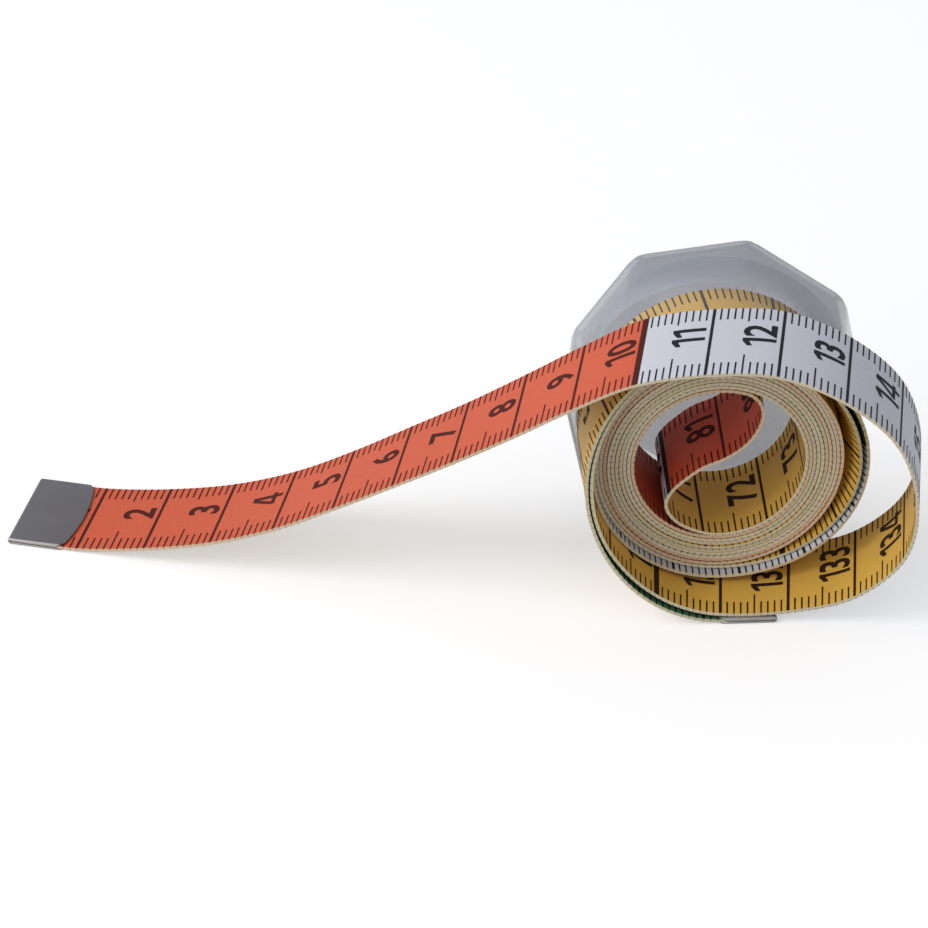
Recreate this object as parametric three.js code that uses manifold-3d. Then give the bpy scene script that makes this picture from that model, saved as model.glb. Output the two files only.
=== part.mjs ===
// A cloth tape measure: 150 cm of woven tape, folded in half, wound up and put away in a frosted case.
// Millimetres, +Z up. X runs along the table, Y runs away from the open mouth of the case.
import * as THREE from 'three';
import { mergeVertices } from 'three/addons/utils/BufferGeometryUtils.js';
import Module from 'manifold-3d';

const wasm = await Module();
wasm.setup();

// Tape
const tapeWidth = 16;
const tapeThickness = 0.35;
const turnGap = 0.27; // free gap between two layers that are separate pieces
const jointGap = 0.3; // between two stretches of the tape, end to end

// Tight winding: the folded tape is wound double, so one turn is two layers thick
const coreRadius = 12.05; // inner face of the innermost turn
const windingGap = 0.42; // least free gap between two double turns
const windingTurns = 4.47;
const windingStart = 100; // degrees, counter-clockwise from the right as seen at the mouth
const windingSteps = 36; // steps a turn
const coilYaw = -3; // degrees that the coil's axis turns away from +Y
const coilProtrusion = 7.5; // how far the tight winding stands out of the mouth
const coilShift = 0.3; // the coil's axis lies this far to the right of the case's axis
const coilDrop = 0.35; // and this far below it

// Loose turns: the front edge of each leg bells out on the right, in front of the mouth
const looseSteps = 48; // steps a turn
const nearLegTurns = 1;
const farLegTurns = 2;
const casedTurns = 1.75; // turns of the far leg that still lie inside the case
const nearFlare = 1.9;
const farFlare = 2.4;
const nearLegAdvance = 9.2; // how far the near leg has come forward when it leaves the case
const farLegLead = 1.5; // how far the far leg comes forward in its first turn
const farLegSettle = 1.8; // how far it slips back in its second turn
const farLegAdvance = 10; // and how far it comes forward at the end of that turn
const tailLength = 7.5; // flat end of the tape, on the table

// Case
const caseWall = 0.85;
const caseFloor = 1.2;
const caseCornerRadius = 2.5;
const caseDepth = 19.2;
const boreClearance = 0.3;
const floorFillet = 2.4;
const gateRadius = 2.5;
const gateHeight = 0.4;
const caseYaw = 4; // degrees that the case's axis turns away from +Y
const caseRoll = -11; // degrees of one corner from the right, as seen at the mouth
const caseSides = 8;
const cornerSteps = 5;
const boreSegments = 72;
const gateSegments = 24;

// Folded metal tips
const tipLength = 8.2;
const tipBow = 1; // how far the tip's inner edge bows out over the tape
const tipThickness = 1;
const tipSheet = 0.2;
const tipFold = 0.4; // solid metal at the fold, along the tape
const tipSideRoom = 0.15; // how far the tip is wider than the tape, on each side
const tipSeat = 0.15; // gap between the tape's end and the fold
const tipArcSteps = 10;

const overrun = 1; // how far a cutter runs past what it cuts
const rad = THREE.MathUtils.degToRad;
const smooth = THREE.MathUtils.smoothstep;
const fullTurn = 360;

// Sizes worked out from those above
const doubleThickness = 2 * tapeThickness;
const windingPitch = doubleThickness + windingGap;
const layerPitch = tapeThickness + turnGap;
const windingEnd = windingStart + fullTurn * windingTurns;
const innerMiddle = coreRadius + doubleThickness / 2;
const windingRadius = (angle) => innerMiddle + (windingPitch * (angle - windingStart)) / fullTurn;
const woundRadius = windingRadius(windingEnd) + doubleThickness / 2;
const farLegStart = windingRadius(windingEnd) - layerPitch / 2;
const casedRadius = farLegStart + 2 * layerPitch * casedTurns + tapeThickness / 2;
const boreRadius = casedRadius + boreClearance - coilShift;
const caseInradius = boreRadius + caseWall;
const cornerAngle = fullTurn / caseSides;
const cornerReach = (caseInradius - caseCornerRadius) / Math.cos(rad(cornerAngle / 2));
const lowestCorner = caseRoll - 2 * cornerAngle;
const axisHeight = caseCornerRadius - cornerReach * Math.sin(rad(lowestCorner));
const loopTop = 2 * axisHeight;
const farTapeHeight = tipThickness / 2; // middle of the tape where it lies on the table
const nearTapeHeight = tipThickness + turnGap + tapeThickness / 2; // the near leg lies on the far one

// A solid's shared vertices are merged before it is cut or joined
function solid(geometry) {
  const bare = new THREE.BufferGeometry();
  const source = geometry.index ? geometry : mergeVertices(geometry);
  bare.setAttribute('position', source.getAttribute('position'));
  bare.setIndex(source.index);
  const merged = mergeVertices(bare);
  const mesh = new wasm.Mesh({
    numProp: 3,
    vertProperties: new Float32Array(merged.getAttribute('position').array),
    triVerts: new Uint32Array(merged.index.array),
  });
  return new wasm.Manifold(mesh);
}

function geometryOf(manifold) {
  const mesh = manifold.getMesh();
  const geometry = new THREE.BufferGeometry();
  geometry.setAttribute('position', new THREE.BufferAttribute(mesh.vertProperties, 3));
  geometry.setIndex(new THREE.BufferAttribute(mesh.triVerts, 1));
  geometry.computeVertexNormals();
  return geometry;
}

// The case's axis and the coil's axis both pass through the middle of the mouth
const mouth = new THREE.Vector3(0, 0, axisHeight);

function axisOf(yaw) {
  return new THREE.Vector3(Math.sin(rad(yaw)), Math.cos(rad(yaw)), 0);
}

function coilPoint(angle, radius, depth) {
  const axis = axisOf(coilYaw);
  const sideways = new THREE.Vector3(axis.y, -axis.x, 0);
  return mouth
    .clone()
    .addScaledVector(axis, depth - coilProtrusion)
    .addScaledVector(sideways, radius * Math.cos(rad(angle)))
    .add(new THREE.Vector3(coilShift, 0, radius * Math.sin(rad(angle)) - coilDrop));
}

// A closed band of even thickness over rows of points on its middle surface. The rows run along the
// tape, counter-clockwise, and the first row is the edge nearest to the viewer.
function bandGeometry(rows, thickness) {
  const stations = rows[0].length;
  const across = rows.length;
  const positions = [];
  const sectionSize = 2 * across;
  const slope = (list, index) => {
    const before = list[Math.max(index - 1, 0)];
    const after = list[Math.min(index + 1, list.length - 1)];
    return after.clone().sub(before);
  };
  for (let i = 0; i < stations; i += 1) {
    const section = rows.map((row) => row[i]);
    const normals = rows.map((row, j) => slope(section, j).cross(slope(row, i)).normalize());
    const outer = section.map((point, j) => point.clone().addScaledVector(normals[j], thickness / 2));
    const inner = section.map((point, j) => point.clone().addScaledVector(normals[j], -thickness / 2));
    const loop = [...outer, ...inner.reverse()];
    loop.forEach((point) => positions.push(point.x, point.y, point.z));
  }
  const indices = [];
  const quad = (a, b, c, d) => indices.push(a, b, c, a, c, d);
  for (let i = 0; i + 1 < stations; i += 1) {
    for (let j = 0; j < sectionSize; j += 1) {
      const here = i * sectionSize;
      const next = here + sectionSize;
      const k = (j + 1) % sectionSize;
      quad(here + j, here + k, next + k, next + j);
    }
  }
  const last = (stations - 1) * sectionSize;
  for (let j = 0; j + 1 < across; j += 1) {
    const back = sectionSize - 1 - j;
    quad(j, back, back - 1, j + 1);
    quad(last + j, last + j + 1, last + back - 1, last + back);
  }
  const geometry = new THREE.BufferGeometry();
  geometry.setAttribute('position', new THREE.Float32BufferAttribute(positions, 3));
  geometry.setIndex(indices);
  geometry.computeVertexNormals();
  return geometry;
}

function evenly(from, to, steps, place) {
  return Array.from({ length: steps + 1 }, (_, i) => place(from + ((to - from) * i) / steps));
}

// Rows across the tape, as shares of its width; an edge that bells out does so up to the middle row
const edgeShares = [0, 1];
const bellShare = 0.36;
const flaredShares = [0, bellShare, 1];

// Rows of a band whose near edge runs along a path on the coil; the far edge is square to that path
function coilRows(from, to, steps, radiusAt, depthAt, flareAt, shares) {
  const nudge = 0.001;
  return shares.map((share) =>
    evenly(from, to, steps, (turn) => {
      const radius = radiusAt(turn);
      const fall = (depthAt(turn - nudge) - depthAt(turn + nudge)) / (2 * nudge);
      const helix = Math.atan2(fall, 2 * Math.PI * radius);
      const ahead = (share * tapeWidth * Math.sin(helix)) / (2 * Math.PI * radius);
      const there = turn + ahead;
      const flare = flareAt(turn) * Math.max(0, 1 - share / bellShare);
      const depth = depthAt(turn) + share * tapeWidth * Math.cos(helix);
      return coilPoint(windingEnd + fullTurn * there, radiusAt(there) + flare, depth);
    }),
  );
}

const turnOf = (length, radius) => length / (2 * Math.PI * radius);

// Near leg: it leaves the tight winding at the bottom and makes one loose turn
const nearLegStart = farLegStart + layerPitch;
const nearLegLanding = 0.84; // the turn where it starts to sink to the table
const nearLegDrop = axisHeight - coilDrop - nearTapeHeight - (nearLegStart + windingPitch);
const nearLegRadius = (turn) =>
  nearLegStart + windingPitch * turn + nearLegDrop * smooth(turn, nearLegLanding, nearLegTurns);
const advanceEase = 1.3; // it comes forward slowly at first
const nearLegDepth = (turn) => -nearLegAdvance * Math.max(turn, 0) ** advanceEase;
const rightBell = (turn) => Math.max(0, Math.sin(2 * Math.PI * turn)) ** 2;
const nearLegFlare = (turn) => nearFlare * rightBell(turn);

// Far leg: two loose turns, the second one outside the near leg and coming forward out of the mouth
const farLegDrop = axisHeight - coilDrop - farTapeHeight - (farLegStart + 2 * layerPitch * farLegTurns);
const farLegWidening = 0.75; // the turn where it starts to make room for the near leg
const farLegLanding = 1.8;
const farLegSettling = 1.1; // the turn where it starts to slip back
const farLegSettled = 1.45;
const farLegLeaving = 1.42; // the turn where it starts to come forward
const farLegRadius = (turn) => {
  const widening = (2 * layerPitch - windingPitch) * smooth(turn, farLegWidening, 1);
  const firstTurn = farLegStart + windingPitch * turn + widening;
  const secondTurn = farLegStart + 2 * layerPitch * turn;
  return (turn < 1 ? firstTurn : secondTurn) + farLegDrop * smooth(turn, farLegLanding, farLegTurns);
};
const farLegDepth = (turn) =>
  farLegSettle * smooth(turn, farLegSettling, farLegSettled) -
  farLegLead * smooth(turn, 0, 1) -
  farLegAdvance * smooth(turn, farLegLeaving, farLegTurns);
const farLegFlare = (turn) => (turn > 1 ? farFlare * rightBell(turn) : 0);

// Front loop and free end, from the bottom of the coil round the right and over the top to the table.
// Each place is on the near edge: across as a share of the wound radius, height as a share of the
// loop's top, forward as a share of the tape's width, then the far edge's turn and rise in degrees.
const loopShares = [
  [0.594, 0.005, 1.02, 3.3, 0.8],
  [1.122, 0.078, 1.06, 3.9, 1.4],
  [1.497, 0.249, 1.1, 4.4, 1.8],
  [1.568, 0.484, 1.128, 5, 1.8],
  [1.396, 0.71, 1.128, 5.5, 1.8],
  [0.97, 0.874, 1.1, 6, 2.2],
  [0.436, 0.962, 1.045, 6.6, 2.5],
  [-0.127, 0.966, 1.035, 7.2, 3],
  [-0.667, 0.914, 0.98, 7.7, 3.2],
  [-1.152, 0.785, 0.845, 8.2, 2.2],
  [-1.619, 0.638, 0.69, 8.8, 1.4],
  [-2.092, 0.51, 0.584, 9.3, 0],
  [-2.565, 0.393, 0.491, 9.9, -0.7],
  [-3.044, 0.28, 0.403, 10.4, -1.8],
  [-3.534, 0.173, 0.309, 11, -1.8],
  [-4.052, 0.09, 0.197, 11.6, -1.4],
  [-4.598, 0.035, 0.072, 12.1, -0.8],
  [-5.156, 0, -0.066, 13.1, 0],
  [-5.438, 0, -0.137, 13.1, 0],
  [-5.689, 0, -0.202, 13.1, 0],
];
const hingeShare = 7.5; // the free end bends between these two places of the table
const landedPlace = 17; // from this place on, the free end lies flat on the table
const loopStepsBetween = 4;

function widthVector(yaw, rise) {
  const flat = axisOf(yaw).multiplyScalar(Math.cos(rad(rise)));
  return flat.add(new THREE.Vector3(0, 0, Math.sin(rad(rise))));
}

function loopPoint([across, height, forward, yaw, rise], index, share) {
  const settled = Math.min(1, index / landedPlace);
  const base = THREE.MathUtils.lerp(nearTapeHeight, farTapeHeight, settled);
  const place = new THREE.Vector3(across * woundRadius, -forward * tapeWidth, base + height * (loopTop - base));
  return place.addScaledVector(widthVector(yaw, rise), share * tapeWidth);
}

// Tight winding: one unbroken double band
const windingRows = edgeShares.map((share) =>
  evenly(windingStart, windingEnd, Math.round(windingTurns * windingSteps), (angle) =>
    coilPoint(angle, windingRadius(angle), share * tapeWidth),
  ),
);

// Least free gap between a band's own turns: from each point to the neighbouring turns' chords
function leastGap(row, thickness, stepsPerTurn) {
  const apart = Math.round(stepsPerTurn / 2);
  const nearest = new THREE.Vector3();
  let least = Infinity;
  for (let i = 0; i < row.length; i += 1) {
    for (let j = i + apart; j + 1 < row.length; j += 1) {
      new THREE.Line3(row[j], row[j + 1]).closestPointToPoint(row[i], true, nearest);
      least = Math.min(least, nearest.distanceTo(row[i]) - thickness);
    }
  }
  return least;
}
console.log('winding, least gap to itself, mm:', leastGap(windingRows[0], doubleThickness, windingSteps).toFixed(3));

// Core fold: the near leg's spiral runs on inward, folds back at the left and crosses the core.
// The fold's places are shares of the core's radius, from the bottom to the top.
const foldShares = [
  [-0.32, -0.92],
  [-0.49, -0.81],
  [-0.6, -0.66],
  [-0.62, -0.52],
  [-0.54, -0.36],
  [-0.38, -0.2],
  [-0.2, -0.06],
  [0.08, 0.07],
  [0.3, 0.24],
  [0.43, 0.43],
  [0.49, 0.63],
  [0.46, 0.8],
  [0.38, 0.9],
];
const coreSweepEnd = -93; // degrees where the near leg leaves the spiral for the fold
const coreRejoin = 72; // degrees where the far leg is back on the spiral
const coreSweepSteps = 18;
const foldStepsBetween = 3;

function coreRow(share) {
  const depth = share * tapeWidth;
  const start = windingStart - THREE.MathUtils.radToDeg(jointGap / innerMiddle);
  const onSpiral = (side) => (angle) => coilPoint(angle, windingRadius(angle) + (side * layerPitch) / 2, depth);
  const sweep = evenly(start, coreSweepEnd, coreSweepSteps, onSpiral(1));
  const back = evenly(coreRejoin, start, 3, onSpiral(-1));
  const fold = foldShares.map(([x, z]) =>
    coilPoint(THREE.MathUtils.radToDeg(Math.atan2(z, x)), Math.hypot(x, z) * coreRadius, depth),
  );
  const guide = [sweep.at(-2), sweep.at(-1), ...fold, back[0], back[1]];
  const bend = smoothPart(guide, 1, guide.length - 2, foldStepsBetween);
  return [...sweep.slice(0, -1), ...bend, ...back.slice(1)].reverse();
}

// A smooth run between two places of a list of points, with the same few steps between each two
function smoothPart(points, from, to, stepsBetween) {
  const curve = new THREE.CatmullRomCurve3(points, false, 'centripetal');
  const steps = Math.ceil((to - from) * stepsBetween);
  return evenly(from / (points.length - 1), to / (points.length - 1), steps, (share) => curve.getPoint(share));
}

// Near leg, front loop and free end
const nearLegRows = coilRows(
  turnOf(jointGap, nearLegStart),
  nearLegTurns,
  looseSteps,
  nearLegRadius,
  nearLegDepth,
  nearLegFlare,
  flaredShares,
);
const loopGuides = flaredShares.map((share, row) => {
  const lead = nearLegRows[row].slice(-3);
  return [lead[0], lead[2], ...loopShares.map((place, index) => loopPoint(place, index, share))];
});
const guideLead = 1; // the loop's guide starts one place before the coil's last point
const hingePlace = guideLead + 1 + hingeShare;
const hingeSlack = (jointGap / 2) / loopGuides[0][2].distanceTo(loopGuides[0][3]);
const frontLoopRows = loopGuides.map((guide, row) => [
  ...nearLegRows[row].slice(0, -1),
  ...smoothPart(guide, guideLead, hingePlace - hingeSlack, loopStepsBetween),
]);
const freeEndRows = [loopGuides[0], loopGuides[2]].map((guide) =>
  smoothPart(guide, hingePlace + hingeSlack, guide.length - 1, loopStepsBetween),
);

// Far leg and its flat tail on the table
const farLegRows = coilRows(
  turnOf(jointGap, farLegStart),
  farLegTurns,
  farLegTurns * looseSteps,
  farLegRadius,
  farLegDepth,
  farLegFlare,
  flaredShares,
);
const tailSteps = 3;
const tailRows = farLegRows.map((row) => {
  const end = row.at(-1);
  const ahead = end.clone().sub(row.at(-2)).setZ(0).normalize();
  return [...row.slice(0, -1), ...evenly(0, tailLength, tailSteps, (run) => end.clone().addScaledVector(ahead, run))];
});

// Case: an eight-sided cup with a round bore, lying on its side with its mouth to the front
function caseGeometry() {
  const outline = new THREE.Shape();
  const corner = (index) => {
    const middle = caseRoll + index * cornerAngle;
    return evenly(middle - cornerAngle / 2, middle + cornerAngle / 2, cornerSteps, (angle) =>
      new THREE.Vector2(
        cornerReach * Math.cos(rad(middle)) + caseCornerRadius * Math.cos(rad(angle)),
        cornerReach * Math.sin(rad(middle)) + caseCornerRadius * Math.sin(rad(angle)),
      ),
    );
  };
  outline.setFromPoints(Array.from({ length: caseSides }, (_, index) => corner(index)).flat());
  const block = solid(new THREE.ExtrudeGeometry(outline, { depth: caseDepth, bevelEnabled: false }));
  const profile = [
    new THREE.Vector2(0, caseFloor),
    ...evenly(0, 1, cornerSteps, (share) =>
      new THREE.Vector2(
        boreRadius - floorFillet + floorFillet * Math.sin((share * Math.PI) / 2),
        caseFloor + floorFillet - floorFillet * Math.cos((share * Math.PI) / 2),
      ),
    ),
    new THREE.Vector2(boreRadius, caseDepth + overrun),
    new THREE.Vector2(0, caseDepth + overrun),
  ];
  const bore = solid(new THREE.LatheGeometry(profile, boreSegments).rotateX(Math.PI / 2));
  const gate = solid(
    new THREE.CylinderGeometry(gateRadius, gateRadius, gateHeight + caseFloor / 2, gateSegments)
      .rotateX(Math.PI / 2)
      .translate(0, 0, caseFloor / 2 + (gateHeight + caseFloor / 2) / 2),
  );
  return geometryOf(block.subtract(bore).add(gate));
}

// Folded tip: two thin leaves joined at the fold, with the tape's end between them
function tipGeometry() {
  const side = tapeWidth / 2 + tipSideRoom;
  const bowRadius = (side * side + tipBow * tipBow) / (2 * tipBow);
  const bowCentre = -tipLength - tipBow + bowRadius;
  const halfBow = Math.asin(side / bowRadius);
  const bow = evenly(Math.PI - halfBow, Math.PI + halfBow, tipArcSteps, (angle) =>
    new THREE.Vector2(bowCentre + bowRadius * Math.cos(angle), bowRadius * Math.sin(angle)),
  );
  const outline = new THREE.Shape([new THREE.Vector2(0, side), ...bow, new THREE.Vector2(0, -side)]);
  const block = solid(
    new THREE.ExtrudeGeometry(outline, { depth: tipThickness, bevelEnabled: false }).translate(0, 0, -tipThickness / 2),
  );
  const slotLength = tipLength + tipBow + overrun - tipFold;
  const slot = solid(
    new THREE.BoxGeometry(slotLength, 2 * (side + overrun), tipThickness - 2 * tipSheet).translate(
      -tipFold - slotLength / 2,
      0,
      0,
    ),
  );
  return geometryOf(block.subtract(slot));
}

const group = new THREE.Group();

function addPiece(name, geometry, color, roughness, metalness = 0, more = {}) {
  const material = new THREE.MeshStandardMaterial({ color, roughness, metalness, ...more });
  const mesh = new THREE.Mesh(geometry, material);
  mesh.name = name;
  group.add(mesh);
  return mesh;
}

// A tip's own X points out of the tape's end, Y across it to the far edge
function addTip(name, near, far, previousNear) {
  const mesh = addPiece(name, tipGeometry(), '#6a6868', 0.55, 0.8);
  const across = far.clone().sub(near).normalize();
  const outward = near.clone().sub(previousNear);
  outward.addScaledVector(across, -outward.dot(across)).normalize();
  const normal = outward.clone().cross(across);
  mesh.quaternion.setFromRotationMatrix(new THREE.Matrix4().makeBasis(outward, across, normal));
  mesh.position.copy(near).add(far).multiplyScalar(0.5).addScaledVector(outward, tipFold + tipSeat);
}

const caseMesh = addPiece('case', caseGeometry(), '#c3cad2', 0.45, 0, { transparent: true, opacity: 0.6 });
const caseAxis = axisOf(caseYaw);
caseMesh.quaternion.setFromRotationMatrix(
  new THREE.Matrix4().makeBasis(
    new THREE.Vector3(caseAxis.y, -caseAxis.x, 0),
    new THREE.Vector3(0, 0, 1),
    caseAxis.clone().negate(),
  ),
);
caseMesh.position.copy(mouth).addScaledVector(caseAxis, caseDepth);

addPiece('tape_winding', bandGeometry(windingRows, doubleThickness), '#b9b48f', 0.7);
addPiece('tape_core_fold', bandGeometry(edgeShares.map(coreRow), tapeThickness), '#c89a34', 0.6);
addPiece('tape_far_leg', bandGeometry(tailRows, tapeThickness), '#c89a34', 0.6);
addPiece('tape_front_loop', bandGeometry(frontLoopRows, tapeThickness), '#dfe2e6', 0.6);
addPiece('tape_free_end', bandGeometry(freeEndRows, tapeThickness), '#e86a45', 0.6);
addTip('zero_end_tip', freeEndRows[0].at(-1), freeEndRows[1].at(-1), freeEndRows[0].at(-2));
addTip('far_end_tip', tailRows[0].at(-1), tailRows[2].at(-1), tailRows[0].at(-2));

// The origin is under the middle of the whole part, on the table
const bounds = new THREE.Box3().setFromObject(group);
const middle = bounds.getCenter(new THREE.Vector3());
group.position.set(-middle.x, -middle.y, -bounds.min.z);

export default group;
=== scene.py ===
"""A cloth tape measure, wound up and half drawn out of its frosted case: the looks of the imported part."""

import bisect
import logging
import math
from dataclasses import dataclass, field
from enum import Enum
from typing import Callable, Sequence

import bpy
from mathutils import Matrix, Vector

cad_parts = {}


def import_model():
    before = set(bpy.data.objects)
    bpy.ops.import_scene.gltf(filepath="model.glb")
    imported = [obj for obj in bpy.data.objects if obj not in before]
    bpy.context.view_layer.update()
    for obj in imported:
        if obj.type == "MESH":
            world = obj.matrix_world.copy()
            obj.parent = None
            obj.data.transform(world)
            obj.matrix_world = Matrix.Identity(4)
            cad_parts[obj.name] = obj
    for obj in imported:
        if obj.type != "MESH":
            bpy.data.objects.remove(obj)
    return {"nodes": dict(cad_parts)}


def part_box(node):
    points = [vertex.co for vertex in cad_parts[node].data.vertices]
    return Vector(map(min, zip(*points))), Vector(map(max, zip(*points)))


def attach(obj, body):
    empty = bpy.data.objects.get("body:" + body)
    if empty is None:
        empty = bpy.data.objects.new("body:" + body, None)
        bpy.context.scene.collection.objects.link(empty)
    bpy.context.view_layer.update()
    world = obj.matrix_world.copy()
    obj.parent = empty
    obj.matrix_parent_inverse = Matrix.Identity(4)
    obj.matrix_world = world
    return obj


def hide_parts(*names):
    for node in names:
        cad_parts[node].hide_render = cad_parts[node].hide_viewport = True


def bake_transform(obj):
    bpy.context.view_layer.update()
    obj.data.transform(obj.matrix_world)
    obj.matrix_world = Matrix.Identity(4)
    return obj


log = logging.getLogger("tape_measure")

MM = 0.001
MM_A_CM = 10
BLOCK = 10  # centimetres of one ground colour
FULL_TURN = 360.0
TAPE_READING = 150.0  # centimetres printed on the tape
MIX_SHARE, MIX_FIRST, MIX_SECOND, MIX_RESULT = 0, 6, 7, 2  # a Mix node's sockets for colours
NEAR = 1e-6  # metres or shares that count as none
WELD = 1e-7  # metres from point to point that become one
Colour = tuple[float, float, float, float]
Section = tuple[Vector, ...]
Outline = list[tuple[float, float]]
Shape = tuple[Outline, list[list[int]], float]


class Face(Enum):
    """A face of the tape: the coloured front, or the yellow back that is numbered from the other end."""

    FRONT = 1
    BACK = -1


class Side(Enum):
    """The sides of a strip of tape, each with its finish's place in the strip's list."""

    FRONT = 0
    BACK = 1
    EDGE = 2


class Ground(Enum):
    """What the print lies on."""

    ORANGE = 0
    WHITE = 1
    GREEN = 2
    YELLOW = 3


def srgb(red: int, green: int, blue: int) -> Colour:
    """Turns a screen colour into Blender's linear one.

    Args:
        red, green, blue: the screen colour, 0 to 255.

    Returns:
        The linear colour with full alpha.
    """

    def linear(value: int) -> float:
        """Turns one channel linear."""
        share = value / 255
        return share / 12.92 if share <= 0.04045 else ((share + 0.055) / 1.055) ** 2.4

    return (linear(red), linear(green), linear(blue), 1.0)


def smooth(value: float, low: float, high: float) -> float:
    """Eases from 0 at low to 1 at high."""
    share = min(1.0, max(0.0, (value - low) / (high - low)))
    return share * share * (3 - 2 * share)


def evenly(start: float, end: float, steps: int) -> list[float]:
    """Returns steps + 1 even values from start to end."""
    return [start + (end - start) * i / steps for i in range(steps + 1)]


def catmull_rom(points: Sequence[Vector], place: float) -> Vector:
    """Finds a point on the centripetal curve through some points.

    Args:
        points: the points that the curve passes through.
        place: the place along the curve, counted in points.

    Returns:
        The point on the curve.
    """
    index = min(int(place), len(points) - 2)
    share = place - index
    second, third = points[index], points[index + 1]
    first = points[index - 1] if index > 0 else second * 2 - third
    fourth = points[index + 2] if index + 2 < len(points) else third * 2 - second
    least = 1e-4
    pairs = ((first, second), (second, third), (third, fourth))
    low, own, high = (max((b - a).length ** 0.5, least) for a, b in pairs)
    before = (second - first) / low - (third - first) / (low + own) + (third - second) / own
    after = (third - second) / own - (fourth - second) / (own + high) + (fourth - third) / high
    before, after = before * own, after * own
    square = third * 3 - second * 3 - before * 2 - after
    cube = second * 2 - third * 2 + before + after
    return second + before * share + square * share**2 + cube * share**3


# Front loop and free end. Each place is on the near edge: across as a share of the wound radius, height
# as a share of the loop's top, forward as a share of the tape's width, then the far edge's turn and rise.
LOOP_SHARES = (
    (0.594, 0.005, 1.02, 3.3, 0.8),
    (1.122, 0.078, 1.06, 3.9, 1.4),
    (1.497, 0.249, 1.1, 4.4, 1.8),
    (1.568, 0.484, 1.128, 5.0, 1.8),
    (1.396, 0.71, 1.128, 5.5, 1.8),
    (0.97, 0.874, 1.1, 6.0, 2.2),
    (0.436, 0.962, 1.045, 6.6, 2.5),
    (-0.127, 0.966, 1.035, 7.2, 3.0),
    (-0.667, 0.914, 0.98, 7.7, 3.2),
    (-1.152, 0.785, 0.845, 8.2, 2.2),
    (-1.619, 0.638, 0.69, 8.8, 1.4),
    (-2.092, 0.51, 0.584, 9.3, 0.0),
    (-2.565, 0.393, 0.491, 9.9, -0.7),
    (-3.044, 0.28, 0.403, 10.4, -1.8),
    (-3.534, 0.173, 0.309, 11.0, -1.8),
    (-4.052, 0.09, 0.197, 11.6, -1.4),
    (-4.598, 0.035, 0.072, 12.1, -0.8),
    (-5.156, 0.0, -0.066, 13.1, 0.0),
    (-5.438, 0.0, -0.137, 13.1, 0.0),
    (-5.689, 0.0, -0.202, 13.1, 0.0),
)
# The printed reading at each of those places, in centimetres
LOOP_READINGS = (18, 17, 16, 15, 14, 13, 12, 11, 10, 9, 8, 7, 6, 5, 4, 3, 2, 1, 0.5, 0)
# Where the tape folds back in the core, as shares of the core's radius
FOLD_SHARES = (
    (-0.32, -0.92),
    (-0.49, -0.81),
    (-0.6, -0.66),
    (-0.62, -0.52),
    (-0.54, -0.36),
    (-0.38, -0.2),
    (-0.2, -0.06),
    (0.08, 0.07),
    (0.3, 0.24),
    (0.43, 0.43),
    (0.49, 0.63),
    (0.46, 0.8),
    (0.38, 0.9),
)
# The strokes of the figures one and four, as shares of a figure's height: corners from low left, round
STROKES = {
    "1": (
        ((0.24, 0.0), (0.4, 0.0), (0.4, 1.0), (0.24, 1.0)),
        ((0.0, 0.7), (0.24, 0.8), (0.24, 1.0), (0.0, 0.85)),
    ),
    "4": (
        ((0.38, 0.0), (0.54, 0.0), (0.54, 1.0), (0.38, 1.0)),
        ((0.0, 0.2), (0.66, 0.2), (0.66, 0.34), (0.0, 0.34)),
        ((0.0, 0.34), (0.15, 0.34), (0.46, 1.0), (0.3, 1.0)),
    ),
}


@dataclass
class Station:
    """One place along the tape: its points from the near edge to the far edge, and its printed reading."""

    points: Section
    reading: float = 0.0


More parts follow.
